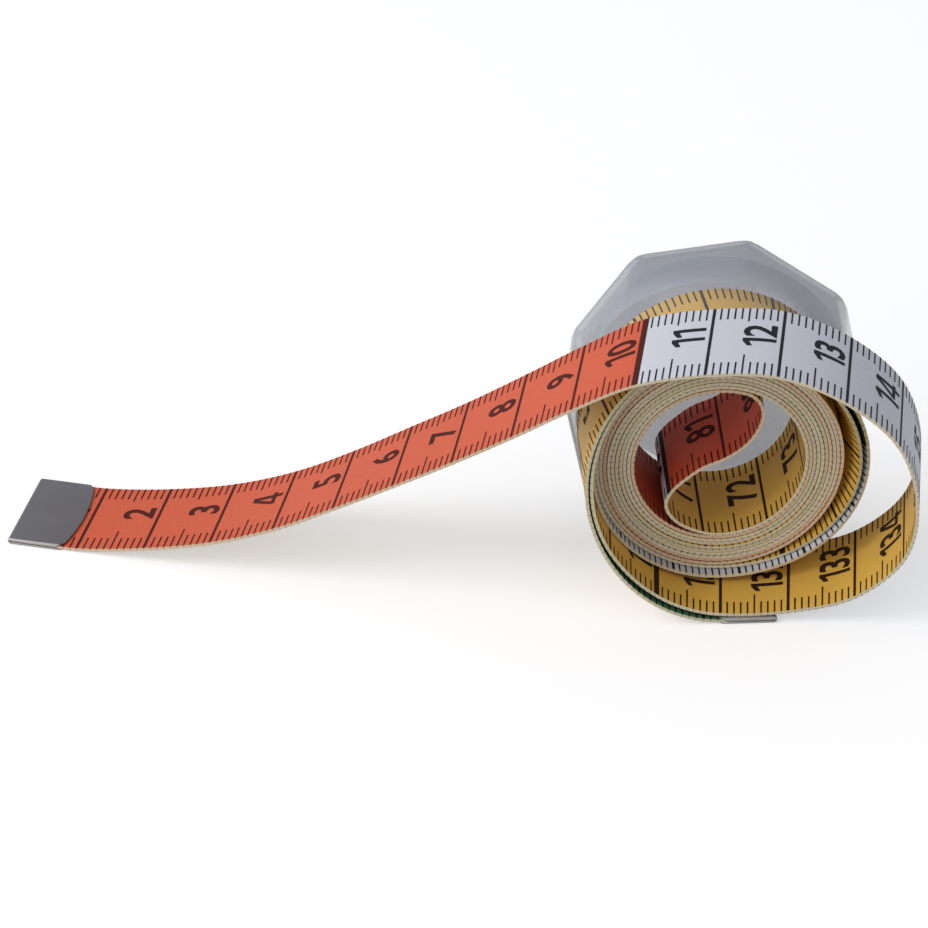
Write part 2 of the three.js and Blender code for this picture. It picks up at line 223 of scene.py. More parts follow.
@dataclass
class TapeRoute:
    """The way of the tape, from its zero end round the loop, in to the core and out again to its far end.

    The sizes are those of the part's source, in millimetres and degrees.
    """

    mouth: Vector
    width: float = 16.0
    solid_thickness: float = 0.35
    turn_gap: float = 0.27  # between two loose turns
    core_radius: float = 12.05  # of the open core
    winding_gap: float = 0.42  # between two turns of the double winding
    winding_turns: float = 4.47  # of the two layers together
    winding_start: float = 100.0  # where the innermost turn begins
    coil_yaw: float = -3.0  # how far the coil is turned on the table
    coil_protrusion: float = 7.5  # how far the tight winding stands out of the mouth
    coil_shift: float = 0.3  # from the mouth's middle, to the right
    coil_drop: float = 0.35  # from the mouth's middle, down
    near_flare: float = 1.9  # how far the near leg bells out on the right
    far_flare: float = 2.4  # the same for the far leg, in its outer turn
    near_advance: float = 9.2  # how far the near leg comes forward in its loose turn
    advance_ease: float = 1.3  # the power that leaves most of it to the end
    near_hold: float = 3.4  # how far the near leg stays back over the top of the coil
    # The turns where that begins and is complete, and where it lets go and has ended
    near_held: tuple[float, float, float, float] = (0.2, 0.5, 0.55, 0.85)
    near_landing: float = 0.84  # the turn from which it drops to the table
    far_lead: float = 1.5  # how far the far leg comes forward in its first turn
    far_settle: float = 1.8  # how far it then goes back
    far_settling: float = 1.1  # the turns between which it does
    far_settled: float = 1.45
    far_leaving: float = 1.42  # the turn from which it comes forward, and how far
    far_advance: float = 9.75
    far_widening: float = 0.75  # the turn from which it makes room for itself
    far_landing: float = 1.8  # the turn from which it drops to the table
    tail_length: float = 7.5  # the straight piece at the far end
    tip_thickness: float = 1.0  # of the metal tips, which the tape's ends rest on
    bell_share: float = 0.36  # the share of the width that bells out
    core_sweep_end: float = -93.0  # where the near leg leaves the winding's inside
    core_rejoin: float = 72.0  # where the far leg meets it again
    landed_place: int = 17  # the guide place from which the free end lies on the table
    steps_a_turn: int = 120
    steps_a_place: int = 12
    fold_steps: int = 8
    core_sweep_steps: int = 60
    core_rejoin_steps: int = 10
    tail_steps: int = 6
    lead_turn: float = 1 / 48  # of a turn, from guide to guide where the loop starts
    parting: float = 60.0  # degrees over which the legs part at either end of the winding
    stray: float = 0.09  # how far the wound turns stray to and fro
    stray_waves: tuple[float, float] = (0.31, 0.83)
    fold_reading: float = 79.8  # the reading at the leftmost point of the fold
    shares: tuple[float, ...] = (0.0, 0.36, 1.0)  # of the width, at which a section has its points
    pitch: float = field(init=False)
    layer: float = field(init=False)
    winding_end: float = field(init=False)
    inner_middle: float = field(init=False)
    wound_radius: float = field(init=False)
    far_start: float = field(init=False)
    near_start: float = field(init=False)
    far_height: float = field(init=False)
    near_height: float = field(init=False)
    near_drop: float = field(init=False)
    far_drop: float = field(init=False)
    stations: list[Station] = field(default_factory=list)
    marks: dict[str, float] = field(default_factory=dict)

    def __post_init__(self) -> None:
        """Works out the sizes that follow from the others, then lays out the whole route."""
        self.pitch = 2 * self.solid_thickness + self.winding_gap
        self.layer = self.solid_thickness + self.turn_gap
        self.winding_end = self.winding_start + FULL_TURN * self.winding_turns
        self.inner_middle = self.core_radius + self.solid_thickness
        self.wound_radius = self.winding_radius(self.winding_end) + self.solid_thickness
        self.far_start = self.winding_radius(self.winding_end) - self.layer / 2
        self.near_start = self.far_start + self.layer
        self.far_height = self.tip_thickness / 2
        self.near_height = self.tip_thickness + self.turn_gap + self.solid_thickness / 2
        axis_height = self.mouth.z - self.coil_drop
        self.near_drop = axis_height - self.near_height - (self.near_start + self.pitch)
        far_end = self.far_start + 2 * 2 * self.layer  # after two turns, each two layers farther out
        self.far_drop = axis_height - self.far_height - far_end
        self.lay_out()

    def winding_radius(self, angle: float) -> float:
        """The middle radius of the double winding at an angle."""
        return self.inner_middle + self.pitch * (angle - self.winding_start) / FULL_TURN

    def coil_point(self, angle: float, radius: float, depth: float) -> Vector:
        """Places a point on the coil.

        Args:
            angle: counter-clockwise from the right as seen at the mouth, in degrees.
            radius: from the coil's axis, in millimetres.
            depth: behind the front of the tight winding, in millimetres.

        Returns:
            The point in the part's frame, in millimetres.
        """
        yaw, turn = math.radians(self.coil_yaw), math.radians(angle)
        axis = Vector((math.sin(yaw), math.cos(yaw), 0))
        sideways = Vector((axis.y, -axis.x, 0))
        place = self.mouth + axis * (depth - self.coil_protrusion) + sideways * (radius * math.cos(turn))
        return place + Vector((self.coil_shift, 0, radius * math.sin(turn) - self.coil_drop))

    def leg_section(
        self,
        turn: float,
        radius_at: Callable[[float], float],
        depth_at: Callable[[float], float],
        flare_at: Callable[[float], float],
    ) -> Section:
        """One section of a loose leg, whose far edge is square to the near edge's path.

        Args:
            turn: the place on the leg, in turns from the end of the tight winding.
            radius_at, depth_at, flare_at: the leg's radius, depth and belling at a turn.

        Returns:
            The section's points from the near edge to the far edge.
        """
        nudge = 0.001
        fall = (depth_at(turn - nudge) - depth_at(turn + nudge)) / (2 * nudge)
        helix = math.atan2(fall, 2 * math.pi * radius_at(turn))
        points = []
        for share in self.shares:
            there = turn + share * self.width * math.sin(helix) / (2 * math.pi * radius_at(turn))
            flare = flare_at(turn) * max(0.0, 1 - share / self.bell_share)
            depth = depth_at(turn) + share * self.width * math.cos(helix)
            angle = self.winding_end + FULL_TURN * there
            points.append(self.coil_point(angle, radius_at(there) + flare, depth))
        return tuple(points)

    def right_bell(self, turn: float) -> float:
        """How far a loose leg bells out at a turn, as a share of the most."""
        return max(0.0, math.sin(2 * math.pi * turn)) ** 2

    def near_depth(self, turn: float) -> float:
        """The near leg's depth at a turn: it comes forward, and most of the way in the last half turn.

        Args:
            turn: the place on the leg, in turns from the end of the tight winding.

        Returns:
            The depth in millimetres.
        """
        setting_in, held_from, held_to, ending = self.near_held
        held = self.near_hold * smooth(turn, setting_in, held_from) * (1 - smooth(turn, held_to, ending))
        return held - self.near_advance * max(turn, 0.0) ** self.advance_ease

    def near_section(self, turn: float) -> Section:
        """One section of the near leg's loose turn.

        Args:
            turn: the place on the leg, in turns from the end of the tight winding.

        Returns:
            The section's points.
        """
        return self.leg_section(
            turn,
            lambda t: self.near_start + self.pitch * t + self.near_drop * smooth(t, self.near_landing, 1),
            self.near_depth,
            lambda t: self.near_flare * self.right_bell(t),
        )

    def far_radius(self, turn: float) -> float:
        """The far leg's radius at a turn.

        Args:
            turn: the place on the leg, in turns from the end of the tight winding.

        Returns:
            The radius in millimetres.
        """
        widening = (2 * self.layer - self.pitch) * smooth(turn, self.far_widening, 1)
        first = self.far_start + self.pitch * turn + widening
        second = self.far_start + 2 * self.layer * turn
        return (first if turn < 1 else second) + self.far_drop * smooth(turn, self.far_landing, 2)

    def far_depth(self, turn: float) -> float:
        """The far leg's depth at a turn: it leads, settles back, then comes forward out of the mouth.

        Args:
            turn: the place on the leg, in turns from the end of the tight winding.

        Returns:
            The depth in millimetres.
        """
        settled = self.far_settle * smooth(turn, self.far_settling, self.far_settled)
        forward = self.far_advance * smooth(turn, self.far_leaving, 2)
        return settled - self.far_lead * smooth(turn, 0, 1) - forward

    def far_section(self, turn: float) -> Section:
        """One section of the far leg's two loose turns.

        Args:
            turn: the place on the leg, in turns from the end of the tight winding.

        Returns:
            The section's points.
        """
        return self.leg_section(
            turn,
            self.far_radius,
            self.far_depth,
            lambda t: self.far_flare * self.right_bell(t) if t > 1 else 0.0,
        )

    def winding_section(self, angle: float, side: int) -> Section:
        """One section of the tight winding.

        Args:
            angle: the winding angle in degrees.
            side: 1 for the leg that lies outside, -1 for the one that lies inside.

        Returns:
            The section's points.
        """
        started = smooth(angle, self.winding_start, self.winding_start + self.parting)
        inside = started * smooth(-angle, -self.winding_end, self.parting - self.winding_end)
        offset = self.layer / 2 + (self.pitch / 4 - self.layer / 2) * inside
        turn = math.radians(angle)
        slow, quick = self.stray_waves
        stray = self.stray * inside * (math.sin(slow * turn + side) + math.sin(quick * turn + 2 * side))
        radius = self.winding_radius(angle) + side * offset
        return tuple(self.coil_point(angle, radius, share * self.width + stray) for share in self.shares)

    def loop_point(self, index: int, share: float) -> Vector:
        """A point of the front loop or the free end at one of its guide places.

        Args:
            index: the guide place, from the coil to the zero end.
            share: the place across the tape, from 0 at the near edge to 1.

        Returns:
            The point in the part's frame, in millimetres.
        """
        across, height, forward, yaw, rise = LOOP_SHARES[index]
        base = self.near_height + (self.far_height - self.near_height) * min(1.0, index / self.landed_place)
        turn, lift = math.radians(yaw), math.radians(rise)
        top = 2 * self.mouth.z
        near = Vector((across * self.wound_radius, -forward * self.width, base + height * (top - base)))
        over = Vector((math.sin(turn) * math.cos(lift), math.cos(turn) * math.cos(lift), math.sin(lift)))
        return near + over * (share * self.width) + Vector((self.mouth.x, self.mouth.y, 0))

    def loop_sections(self) -> list[Station]:
        """The free end and the front loop, from the zero end to the table in front of the case.

        Returns:
            The stations, with a reading where one is known.
        """
        leads = (self.near_section(1 - 2 * self.lead_turn), self.near_section(1))
        guides = []
        for row, share in enumerate(self.shares):
            lead = [section[row] for section in leads]
            guides.append(lead + [self.loop_point(index, share) for index in range(len(LOOP_SHARES))])
        last = len(guides[0]) - 1
        stations = []
        for place in evenly(last, 1, self.steps_a_place * (last - 1))[:-1]:
            station = Station(tuple(catmull_rom(guide, place) for guide in guides), math.nan)
            whole = round(place)
            if abs(place - whole) < NEAR and whole >= len(leads):
                station.reading = float(LOOP_READINGS[whole - len(leads)])
            stations.append(station)
        return stations

    def core_sections(self) -> list[Section]:
        """The inner end of the near leg, the fold, and the far leg's way across the core.

        Returns:
            The sections in their order along the tape.
        """
        sweeping = evenly(self.winding_start, self.core_sweep_end, self.core_sweep_steps)
        sweep = [self.winding_core_section(angle, 1) for angle in sweeping]
        rejoining = evenly(self.core_rejoin, self.winding_start, self.core_rejoin_steps)
        back = [self.winding_core_section(angle, -1) for angle in rejoining]
        fold = []
        for across, height in FOLD_SHARES:
            angle = math.degrees(math.atan2(height, across))
            radius = math.hypot(across, height) * self.core_radius
            fold.append(tuple(self.coil_point(angle, radius, share * self.width) for share in self.shares))
        guide = [sweep[-5], sweep[-1], *fold, back[0], back[4]]  # the outer two only steer the curve's ends
        rows = [[section[row] for section in guide] for row in range(len(self.shares))]
        places = evenly(1, len(guide) - 2, self.fold_steps * (len(guide) - 3))
        bend = [tuple(catmull_rom(row, place) for row in rows) for place in places]
        return [*sweep[1:-1], *bend, *back[1:-1]]

    def winding_core_section(self, angle: float, side: int) -> Section:
        """A section on the spiral inside the tight winding's first turn."""
        radius = self.winding_radius(angle) + side * self.layer / 2
        return tuple(self.coil_point(angle, radius, share * self.width) for share in self.shares)

    def lay_out(self) -> None:
        """Joins all the stretches and gives each station its printed reading."""
        turns = self.steps_a_turn
        wound = round(self.winding_turns * turns)
        inwards = evenly(self.winding_end, self.winding_start, wound)
        outwards = evenly(self.winding_start, self.winding_end, wound)
        parts: dict[str, list[Section]] = {
            "near_leg": [self.near_section(turn) for turn in evenly(1, 0, turns)[:-1]],
            "winding_in": [self.winding_section(angle, 1) for angle in inwards],
            "core": self.core_sections(),
            "winding_out": [self.winding_section(angle, -1) for angle in outwards],
            "far_leg": [self.far_section(turn) for turn in evenly(0, 2, 2 * turns)[1:]],
        }
        self.stations = self.loop_sections()
        fold_index = 0
        for name, sections in parts.items():
            self.marks[name] = float(len(self.stations))
            if name == "core":
                xs = [section[0].x for section in sections]
                fold_index = len(self.stations) + xs.index(min(xs))
            self.stations += [Station(section, math.nan) for section in sections]
        last, before = self.stations[-1].points, self.stations[-2].points
        ahead = [Vector((a.x - b.x, a.y - b.y, 0)).normalized() for a, b in zip(last, before)]
        for run in evenly(0, self.tail_length, self.tail_steps)[1:]:
            self.stations.append(Station(tuple(p + d * run for p, d in zip(last, ahead)), math.nan))
        self.stations[fold_index].reading = self.fold_reading
        self.stations[-1].reading = TAPE_READING
        self.read_scale()
        self.marks = {name: self.stations[int(index)].reading for name, index in self.marks.items()}

    def read_scale(self) -> None:
        """Fills in the readings between the stations where they are known, evenly along the tape."""
        lengths = [0.0]
        for here, there in zip(self.stations, self.stations[1:]):
            middles = [(s.points[0] + s.points[-1]) / 2 for s in (here, there)]
            lengths.append(lengths[-1] + (middles[1] - middles[0]).length)
        known = [i for i, s in enumerate(self.stations) if not math.isnan(s.reading)]
        for low, high in zip(known, known[1:]):
            first, second = self.stations[low].reading, self.stations[high].reading
            for i in range(low + 1, high):
                share = (lengths[i] - lengths[low]) / (lengths[high] - lengths[low])
                self.stations[i].reading = first + (second - first) * share
        log.info("tape on its route: %.1f mm", lengths[-1])


class TapeSurface:
    """The tape's middle surface, read by its printed scale."""

    def __init__(self, route: TapeRoute, thickness: float) -> None:
        """Keeps the route and works out the normals of the coloured face.

        Args:
            route: the tape's way.
            thickness: the tape's thickness with its coat, in millimetres.
        """
        self.route = route
        self.thickness = thickness
        self.readings = [station.reading for station in route.stations]
        every = range(len(route.shares))
        self.rows = [[station.points[row] for station in route.stations] for row in every]
        self.normals = [self._normals(row) for row in every]

    def _normals(self, row: int) -> list[Vector]:
        """The normals along one row: along the tape, crossed with across it.

        Args:
            row: the row's number, from the near edge.

        Returns:
            The normal at each station.
        """
        found = []
        stations = self.route.stations
        last = len(stations) - 1
        for i, station in enumerate(stations):
            before, after = stations[max(i - 1, 0)], stations[min(i + 1, last)]
            ahead = after.points[row] - before.points[row]
            across = station.points[min(row + 1, len(self.rows) - 1)] - station.points[max(row - 1, 0)]
            found.append(ahead.cross(across).normalized())
        return found

    def point(self, reading: float, across: float, face: Face, lift: float) -> Vector:
        """A point on or over a face of the tape.

        Args:
            reading: the reading on the coloured face, in centimetres.
            across: the distance from the near edge, in millimetres.
            face: which face the point is on.
            lift: the distance above that face, in millimetres.

        Returns:
            The point in metres.
        """
        index = min(max(bisect.bisect_right(self.readings, reading) - 1, 0), len(self.readings) - 2)
        low, high = self.readings[index], self.readings[index + 1]
        share = (reading - low) / (high - low)
        split = self.route.shares[1] * self.route.width
        row = 0 if across <= split else 1
        start, end = (0.0, split) if row == 0 else (split, self.route.width)
        over = (across - start) / (end - start)

        def mix(table: list[list[Vector]]) -> Vector:
            """Finds the value at this place.

            Args:
                table: the values by row and station.

            Returns:
                The value.
            """
            near = table[row][index].lerp(table[row][index + 1], share)
            far = table[row + 1][index].lerp(table[row + 1][index + 1], share)
            return near.lerp(far, over)

        outward = mix(self.normals).normalized() * face.value
        return (mix(self.rows) + outward * (self.thickness / 2 + lift)) * MM


def add_mesh(name: str, verts: Sequence[Vector], faces: Sequence[Sequence[int]]) -> bpy.types.Object:
    """Makes an object from points and faces and links it to the scene.

    Args:
        name: the piece's name.
        verts: its points in metres.
        faces: its faces as lists of point numbers.

    Returns:
        The new object, at the origin.
    """
    mesh = bpy.data.meshes.new(name)
    mesh.from_pydata([tuple(v) for v in verts], [], [tuple(f) for f in faces])
    mesh.update()
    piece = bpy.data.objects.new(name, mesh)
    bpy.context.scene.collection.objects.link(piece)
    return piece


def choose(piece: bpy.types.Object) -> None:
    """Selects one piece alone and makes it active.

    Args:
        piece: the piece.
    """
    bpy.ops.object.select_all(action="DESELECT")
    piece.select_set(True)
    bpy.context.view_layer.objects.active = piece


class NodeWork:
    """A small builder for a tree of shader nodes."""

    def __init__(self, tree: bpy.types.NodeTree) -> None:
        """Keeps the tree.

        Args:
            tree: the tree that the nodes go into.
        """
        self.nodes = tree.nodes
        self.links = tree.links

    def add(
        self, kind: str, settings: dict[str, object] | None = None, **sockets: object
    ) -> bpy.types.Node:
        """Adds a node.

        Args:
            kind: the node's type.
            settings: its properties.
            sockets: its inputs by name, with _ for a space, each a number, colour or output.

        Returns:
            The node.
        """
        node = self.nodes.new(kind)
        for key, value in (settings or {}).items():
            setattr(node, key, value)
        for key, value in sockets.items():
            self.feed(node.inputs[key.replace("_", " ")], value)
        return node

    def feed(self, socket: bpy.types.NodeSocket, value: object) -> None:
        """Links an output to a socket, or sets the socket to a number or colour.

        Args:
            socket: the input.
            value: the output, number or colour.
        """
        if isinstance(value, bpy.types.NodeSocket):
            self.links.new(value, socket)
        else:
            socket.default_value = value

    def math(self, operation: str, *values: object) -> bpy.types.NodeSocket:
        """Adds a Math node.

        Args:
            operation: what it does.
            values: up to three numbers or outputs.

        Returns:
            The result's socket.
        """
        node = self.nodes.new("ShaderNodeMath")
        node.operation = operation
        for socket, value in zip(node.inputs, values):
            self.feed(socket, value)
        return node.outputs[0]

    def mix(self, share: object, first: object, second: object) -> bpy.types.NodeSocket:
        """Mixes two colours.

        Args:
            share: how much of the second, a number or an output.
            first, second: the colours, or outputs.

        Returns:
            The result's socket.
        """
        node = self.nodes.new("ShaderNodeMix")
        node.data_type = "RGBA"
        for index, value in ((MIX_SHARE, share), (MIX_FIRST, first), (MIX_SECOND, second)):
            self.feed(node.inputs[index], value)
        return node.outputs[MIX_RESULT]

    def noise(self, place: object, scale: float, detail: float = 3.0) -> bpy.types.NodeSocket:
        """Adds a noise texture at a place and returns its value, about 0.5."""
        return self.add("ShaderNodeTexNoise", Vector=place, Scale=scale, Detail=detail).outputs["Fac"]

    def seen(self) -> bpy.types.NodeSocket:
        """Tells what the camera sees, in mirrors and through glass too, from the light on things.

        Returns:
            The socket, which is 1 for what it sees.
        """
        path = self.add("ShaderNodeLightPath").outputs
        direct = self.math("MAXIMUM", path["Is Camera Ray"], path["Is Glossy Ray"])
        return self.math("MAXIMUM", direct, path["Is Transmission Ray"])


class MaterialWork(NodeWork):
    """A material that is being made, with its surface shader."""

    def __init__(self, name: str) -> None:
        """Starts the material.

        Args:
            name: the material's name.
        """
        self.material = bpy.data.materials.new(name)
        self.material.use_nodes = True
        super().__init__(self.material.node_tree)
        self.shader = self.nodes["Principled BSDF"]

    def bump(self, height: object, depth: float, strength: float) -> None:
        """Puts a bump of a depth in millimetres on the surface shader."""
        node = self.add("ShaderNodeBump", Height=height, Distance=depth * MM, Strength=strength)
        self.feed(self.shader.inputs["Normal"], node.outputs["Normal"])

    def dress(self, colour: object, roughness: object, specular: float) -> None:
        """Sets the surface shader's colour, roughness and specular level.

        Args:
            colour: a colour or an output.
            roughness: a number or an output.
            specular: the level, which is the same all over.
        """
        self.feed(self.shader.inputs["Base Color"], colour)
        self.feed(self.shader.inputs["Roughness"], roughness)
        self.shader.inputs["Specular IOR Level"].default_value = specular

    def tape_scale(self) -> tuple[bpy.types.NodeSocket, bpy.types.NodeSocket]:
        """Reads the tape's own scale from its UV map.

        Returns:
            The reading in centimetres, and the place across or through the tape.
        """
        scale = self.add("ShaderNodeUVMap", {"uv_map": "scale"})
        parts = self.add("ShaderNodeSeparateXYZ", Vector=scale.outputs["UV"])
        return parts.outputs[0], parts.outputs[1]

    def by_block(self, reading: object, colours: Sequence[Colour]) -> bpy.types.NodeSocket:
        """Chooses a colour by ten-centimetre block: orange, white, green, white, and so on.

        Args:
            reading: the reading in centimetres.
            colours: the orange, white and green blocks' colours.

        Returns:
            The colour's socket.
        """
        orange, white, green = colours
        cycle, margin = 4.0, 0.1  # blocks until the colours come round, and how near counts as equal
        blocks = self.math("FLOOR", self.math("DIVIDE", reading, BLOCK))
        block = self.math("MODULO", blocks, cycle)
        is_white = self.math("COMPARE", self.math("MODULO", block, 2.0), 1.0, margin)
        is_green = self.math("COMPARE", block, 2.0, margin)
        return self.mix(is_white, self.mix(is_green, orange, green), white)


def tone(colour: Colour, share: float, lift: float = 0.0) -> Colour:
    """A lighter or darker tone of a colour, by a share and a lift."""
    return tuple(min(1.0, channel * share + lift) for channel in colour[:3]) + (1.0,)


@dataclass(frozen=True)
class WovenFinish:
    """Coated woven tape: coloured ten-centimetre blocks, or one ground colour, over a fine plain weave."""

    name: str
    grounds: tuple[Colour, ...]
    roughness: float = 0.5
    specular: float = 0.3
    thread: float = 0.42  # millimetres from thread to thread
    weave_depth: float = 0.018
    weave_strength: float = 0.6
    speck_relief: float = 0.6  # how far the specks stand out, beside the weave
    cloud_scale: float = 0.35
    speck_scale: float = 3.5
    grime: Colour = (0.25, 0.2, 0.15, 1.0)
    grime_share: float = 0.06
    wear: float = 0.35
    fleck: Colour = (0.9, 0.88, 0.84, 1.0)
    fleck_share: float = 0.05

    def build(self) -> bpy.types.Material:
        """Makes the material: the blocks, cloudy wear and fine flecks over a plain weave.

        Returns:
            The material.
        """
        work = MaterialWork(self.name)
        reading, across = work.tape_scale()
        ground: object = self.grounds[0]
        if len(self.grounds) > 1:
            ground = work.by_block(reading, self.grounds)
        spread = work.add("ShaderNodeCombineXYZ", X=work.math("MULTIPLY", reading, MM_A_CM), Y=across)
        cloud = work.noise(spread.outputs[0], self.cloud_scale)
        speck = work.noise(spread.outputs[0], self.speck_scale, detail=2.0)
        grimy = work.mix(self.grime_share, ground, self.grime)
        worn = work.mix(work.math("MULTIPLY", cloud, self.wear), ground, grimy)
        flecked = work.mix(work.math("MULTIPLY", speck, self.fleck_share), worn, self.fleck)
        work.dress(flecked, self.roughness, self.specular)
        turn = 2 * math.pi / self.thread
        warp = work.math("SINE", work.math("MULTIPLY", across, turn))
        weft = work.math("SINE", work.math("MULTIPLY", reading, MM_A_CM * turn))
        specks = work.math("MULTIPLY", speck, self.speck_relief)
        relief = work.math("ADD", work.math("MULTIPLY", warp, weft), specks)
        work.bump(relief, self.weave_depth, self.weave_strength)
        return work.material


@dataclass(frozen=True)
class CutEdgeFinish:
    """The tape's cut edge: cream threads between two coats, tinted by the block that it belongs to."""

    name: str
    cream: Colour
    tints: tuple[Colour, ...]
    dots: Colour
    thread_scale: float = 4.5
    thread_share: float = 0.55
    half_tick: float = 0.13  # millimetres
    coat_start: float = 0.55  # the share of the thickness from which the ticks' ink shows
    dot_share: float = 0.45
    roughness: float = 0.8
    specular: float = 0.2
    thread_depth: float = 0.04
    thread_strength: float = 0.7

    def build(self) -> bpy.types.Material:
        """Makes the material from the tape's scale: tint by block, and a dark dot at each printed tick.

        Returns:
            The material.
        """
        work = MaterialWork(self.name)
        reading, through = work.tape_scale()
        tint = work.by_block(reading, self.tints)
        spread = work.add("ShaderNodeCombineXYZ", X=work.math("MULTIPLY", reading, MM_A_CM), Y=through)
        threads = work.noise(spread.outputs[0], self.thread_scale)
        colour = work.mix(work.math("MULTIPLY", threads, self.thread_share), self.cream, tint)
        half_way = work.math("MULTIPLY_ADD", reading, MM_A_CM, 0.5)
        beside = work.math("SUBTRACT", work.math("FRACT", half_way), 0.5)
        tick = work.math("LESS_THAN", work.math("ABSOLUTE", beside), self.half_tick)
        outer = work.math("GREATER_THAN", through, self.coat_start)
        dotted = work.math("MULTIPLY", work.math("MULTIPLY", tick, outer), self.dot_share)
        work.dress(work.mix(dotted, colour, self.dots), self.roughness, self.specular)
        work.bump(threads, self.thread_depth, self.thread_strength)
        return work.material


@dataclass(frozen=True)
class InkFinish:
    """Printing ink, thin enough to take on a little of its ground."""

    name: str
    colour: Colour
    mottle_scale: float = 2500.0
    mottle_share: float = 0.4
    mottle_depth: float = 0.01
    mottle_strength: float = 0.4
    roughness: float = 0.7
    specular: float = 0.15

    def build(self) -> bpy.types.Material:
        """Makes the material: dark ink with a faint mottle where the weave shows through.

        Returns:
            The material.
        """
        work = MaterialWork(self.name)
        place = work.add("ShaderNodeTexCoord").outputs["Object"]
        mottle = work.noise(place, self.mottle_scale, detail=2.0)
        share = work.math("MULTIPLY", mottle, self.mottle_share)
        mottled = work.mix(share, self.colour, tone(self.colour, 1.8, 0.01))
        work.dress(mottled, self.roughness, self.specular)
        work.bump(mottle, self.mottle_depth, self.mottle_strength)
        return work.material


@dataclass(frozen=True)
class MilkyFinish:
    """Thin milky plastic, glossy outside, and clearer near the mouth where the tape lies against it."""

    name: str
    colour: Colour
    mouth: Vector
    inward: Vector
    near_cover: float  # how much one surface hides where the tape touches, seen straight on
    cover: float  # the same everywhere else
    clear_depth: float  # millimetres from the mouth
    milky_depth: float
    grazing_cover: float = 0.3  # how much more it hides, seen edge on
    touched_grazing: float = 0.12  # the same where the tape touches
    facing_blend: float = 0.4
    touch_side: float = -10.0  # degrees from straight up to the middle of the touched stretch
    touch_start: float = 12.4  # millimetres from the case's axis, that way
    touch_full: float = 14.2
    cloud_scale: float = 90.0
    cloud_tone: float = 1.18
    unevenness: float = 0.1
    roughness: float = 0.05
    scuffing: float = 0.05
    scuff_scale: float = 500.0
    specular: float = 0.8
    flow_scale: float = 40.0
    flow_depth: float = 0.3
    flow_strength: float = 0.3
    passing: float = 0.75  # how much of its cover lamplight passes all the same

    def build(self) -> bpy.types.Material:
        """Makes the material: cloudy, faintly uneven, and denser towards its outline.

        Returns:
            The material.
        """
        work = MaterialWork(self.name)
        place = work.add("ShaderNodeTexCoord").outputs["Object"]
        cloud = work.noise(place, self.cloud_scale)
        scuffs = work.noise(place, self.scuff_scale)
        colour = work.mix(cloud, self.colour, tone(self.colour, self.cloud_tone))
        roughness = work.math("MULTIPLY_ADD", scuffs, self.scuffing, self.roughness)
        work.dress(colour, roughness, self.specular)
        uneven = work.math("MULTIPLY_ADD", cloud, self.unevenness, -self.unevenness / 2)
        hidden = work.math("ADD", self._cover(work, place), uneven)
        shadow = work.add("ShaderNodeLightPath").outputs["Is Shadow Ray"]
        passing = work.math("MULTIPLY_ADD", shadow, -self.passing, 1.0)
        work.feed(work.shader.inputs["Alpha"], work.math("MULTIPLY", hidden, passing))
        work.bump(work.noise(place, self.flow_scale, detail=0.0), self.flow_depth, self.flow_strength)
        return work.material

    def _cover(self, work: MaterialWork, place: bpy.types.NodeSocket) -> bpy.types.NodeSocket:
        """How much the plastic hides: less where the tape touches it, and more seen edge on.

        Args:
            work: the material's nodes.
            place: the place on the case.

        Returns:
            The socket of the share that is hidden.
        """
        side = math.radians(self.touch_side)
        sideways = Vector((self.inward.y, -self.inward.x, 0))
        towards = sideways * math.sin(side) + Vector((0, 0, math.cos(side)))
        behind = self._ramp(work, place, self.inward, self.clear_depth, self.milky_depth)
        above = self._ramp(work, place, towards, self.touch_start, self.touch_full)
        touched = work.math("MULTIPLY", above, work.math("SUBTRACT", 1.0, behind))
        straight = work.math("MULTIPLY_ADD", touched, self.near_cover - self.cover, self.cover)
        less = self.touched_grazing - self.grazing_cover
        grazing = work.math("MULTIPLY_ADD", touched, less, self.grazing_cover)
        facing = work.add("ShaderNodeLayerWeight", Blend=self.facing_blend).outputs["Facing"]
        return work.math("MULTIPLY_ADD", facing, grazing, straight)

    def _ramp(
        self, work: MaterialWork, place: bpy.types.NodeSocket, way: Vector, low: float, high: float
    ) -> bpy.types.NodeSocket:
        """A value that eases from 0 to 1 between two distances from the mouth's middle, one way.

        Args:
            work: the material's nodes.
            place: the place on the case.
            way: the direction, of length 1.
            low, high: the two distances, in millimetres.

        Returns:
            The value's socket.
        """
        along = work.add("ShaderNodeVectorMath", {"operation": "DOT_PRODUCT"})
        work.feed(along.inputs[0], place)
        along.inputs[1].default_value = way
        value = along.outputs["Value"]
        ramp = work.add("ShaderNodeMapRange", {"interpolation_type": "SMOOTHSTEP"}, Value=value)
        start = self.mouth.dot(way)
        ramp.inputs["From Min"].default_value = (start + low) * MM
        ramp.inputs["From Max"].default_value = (start + high) * MM
        return ramp.outputs["Result"]


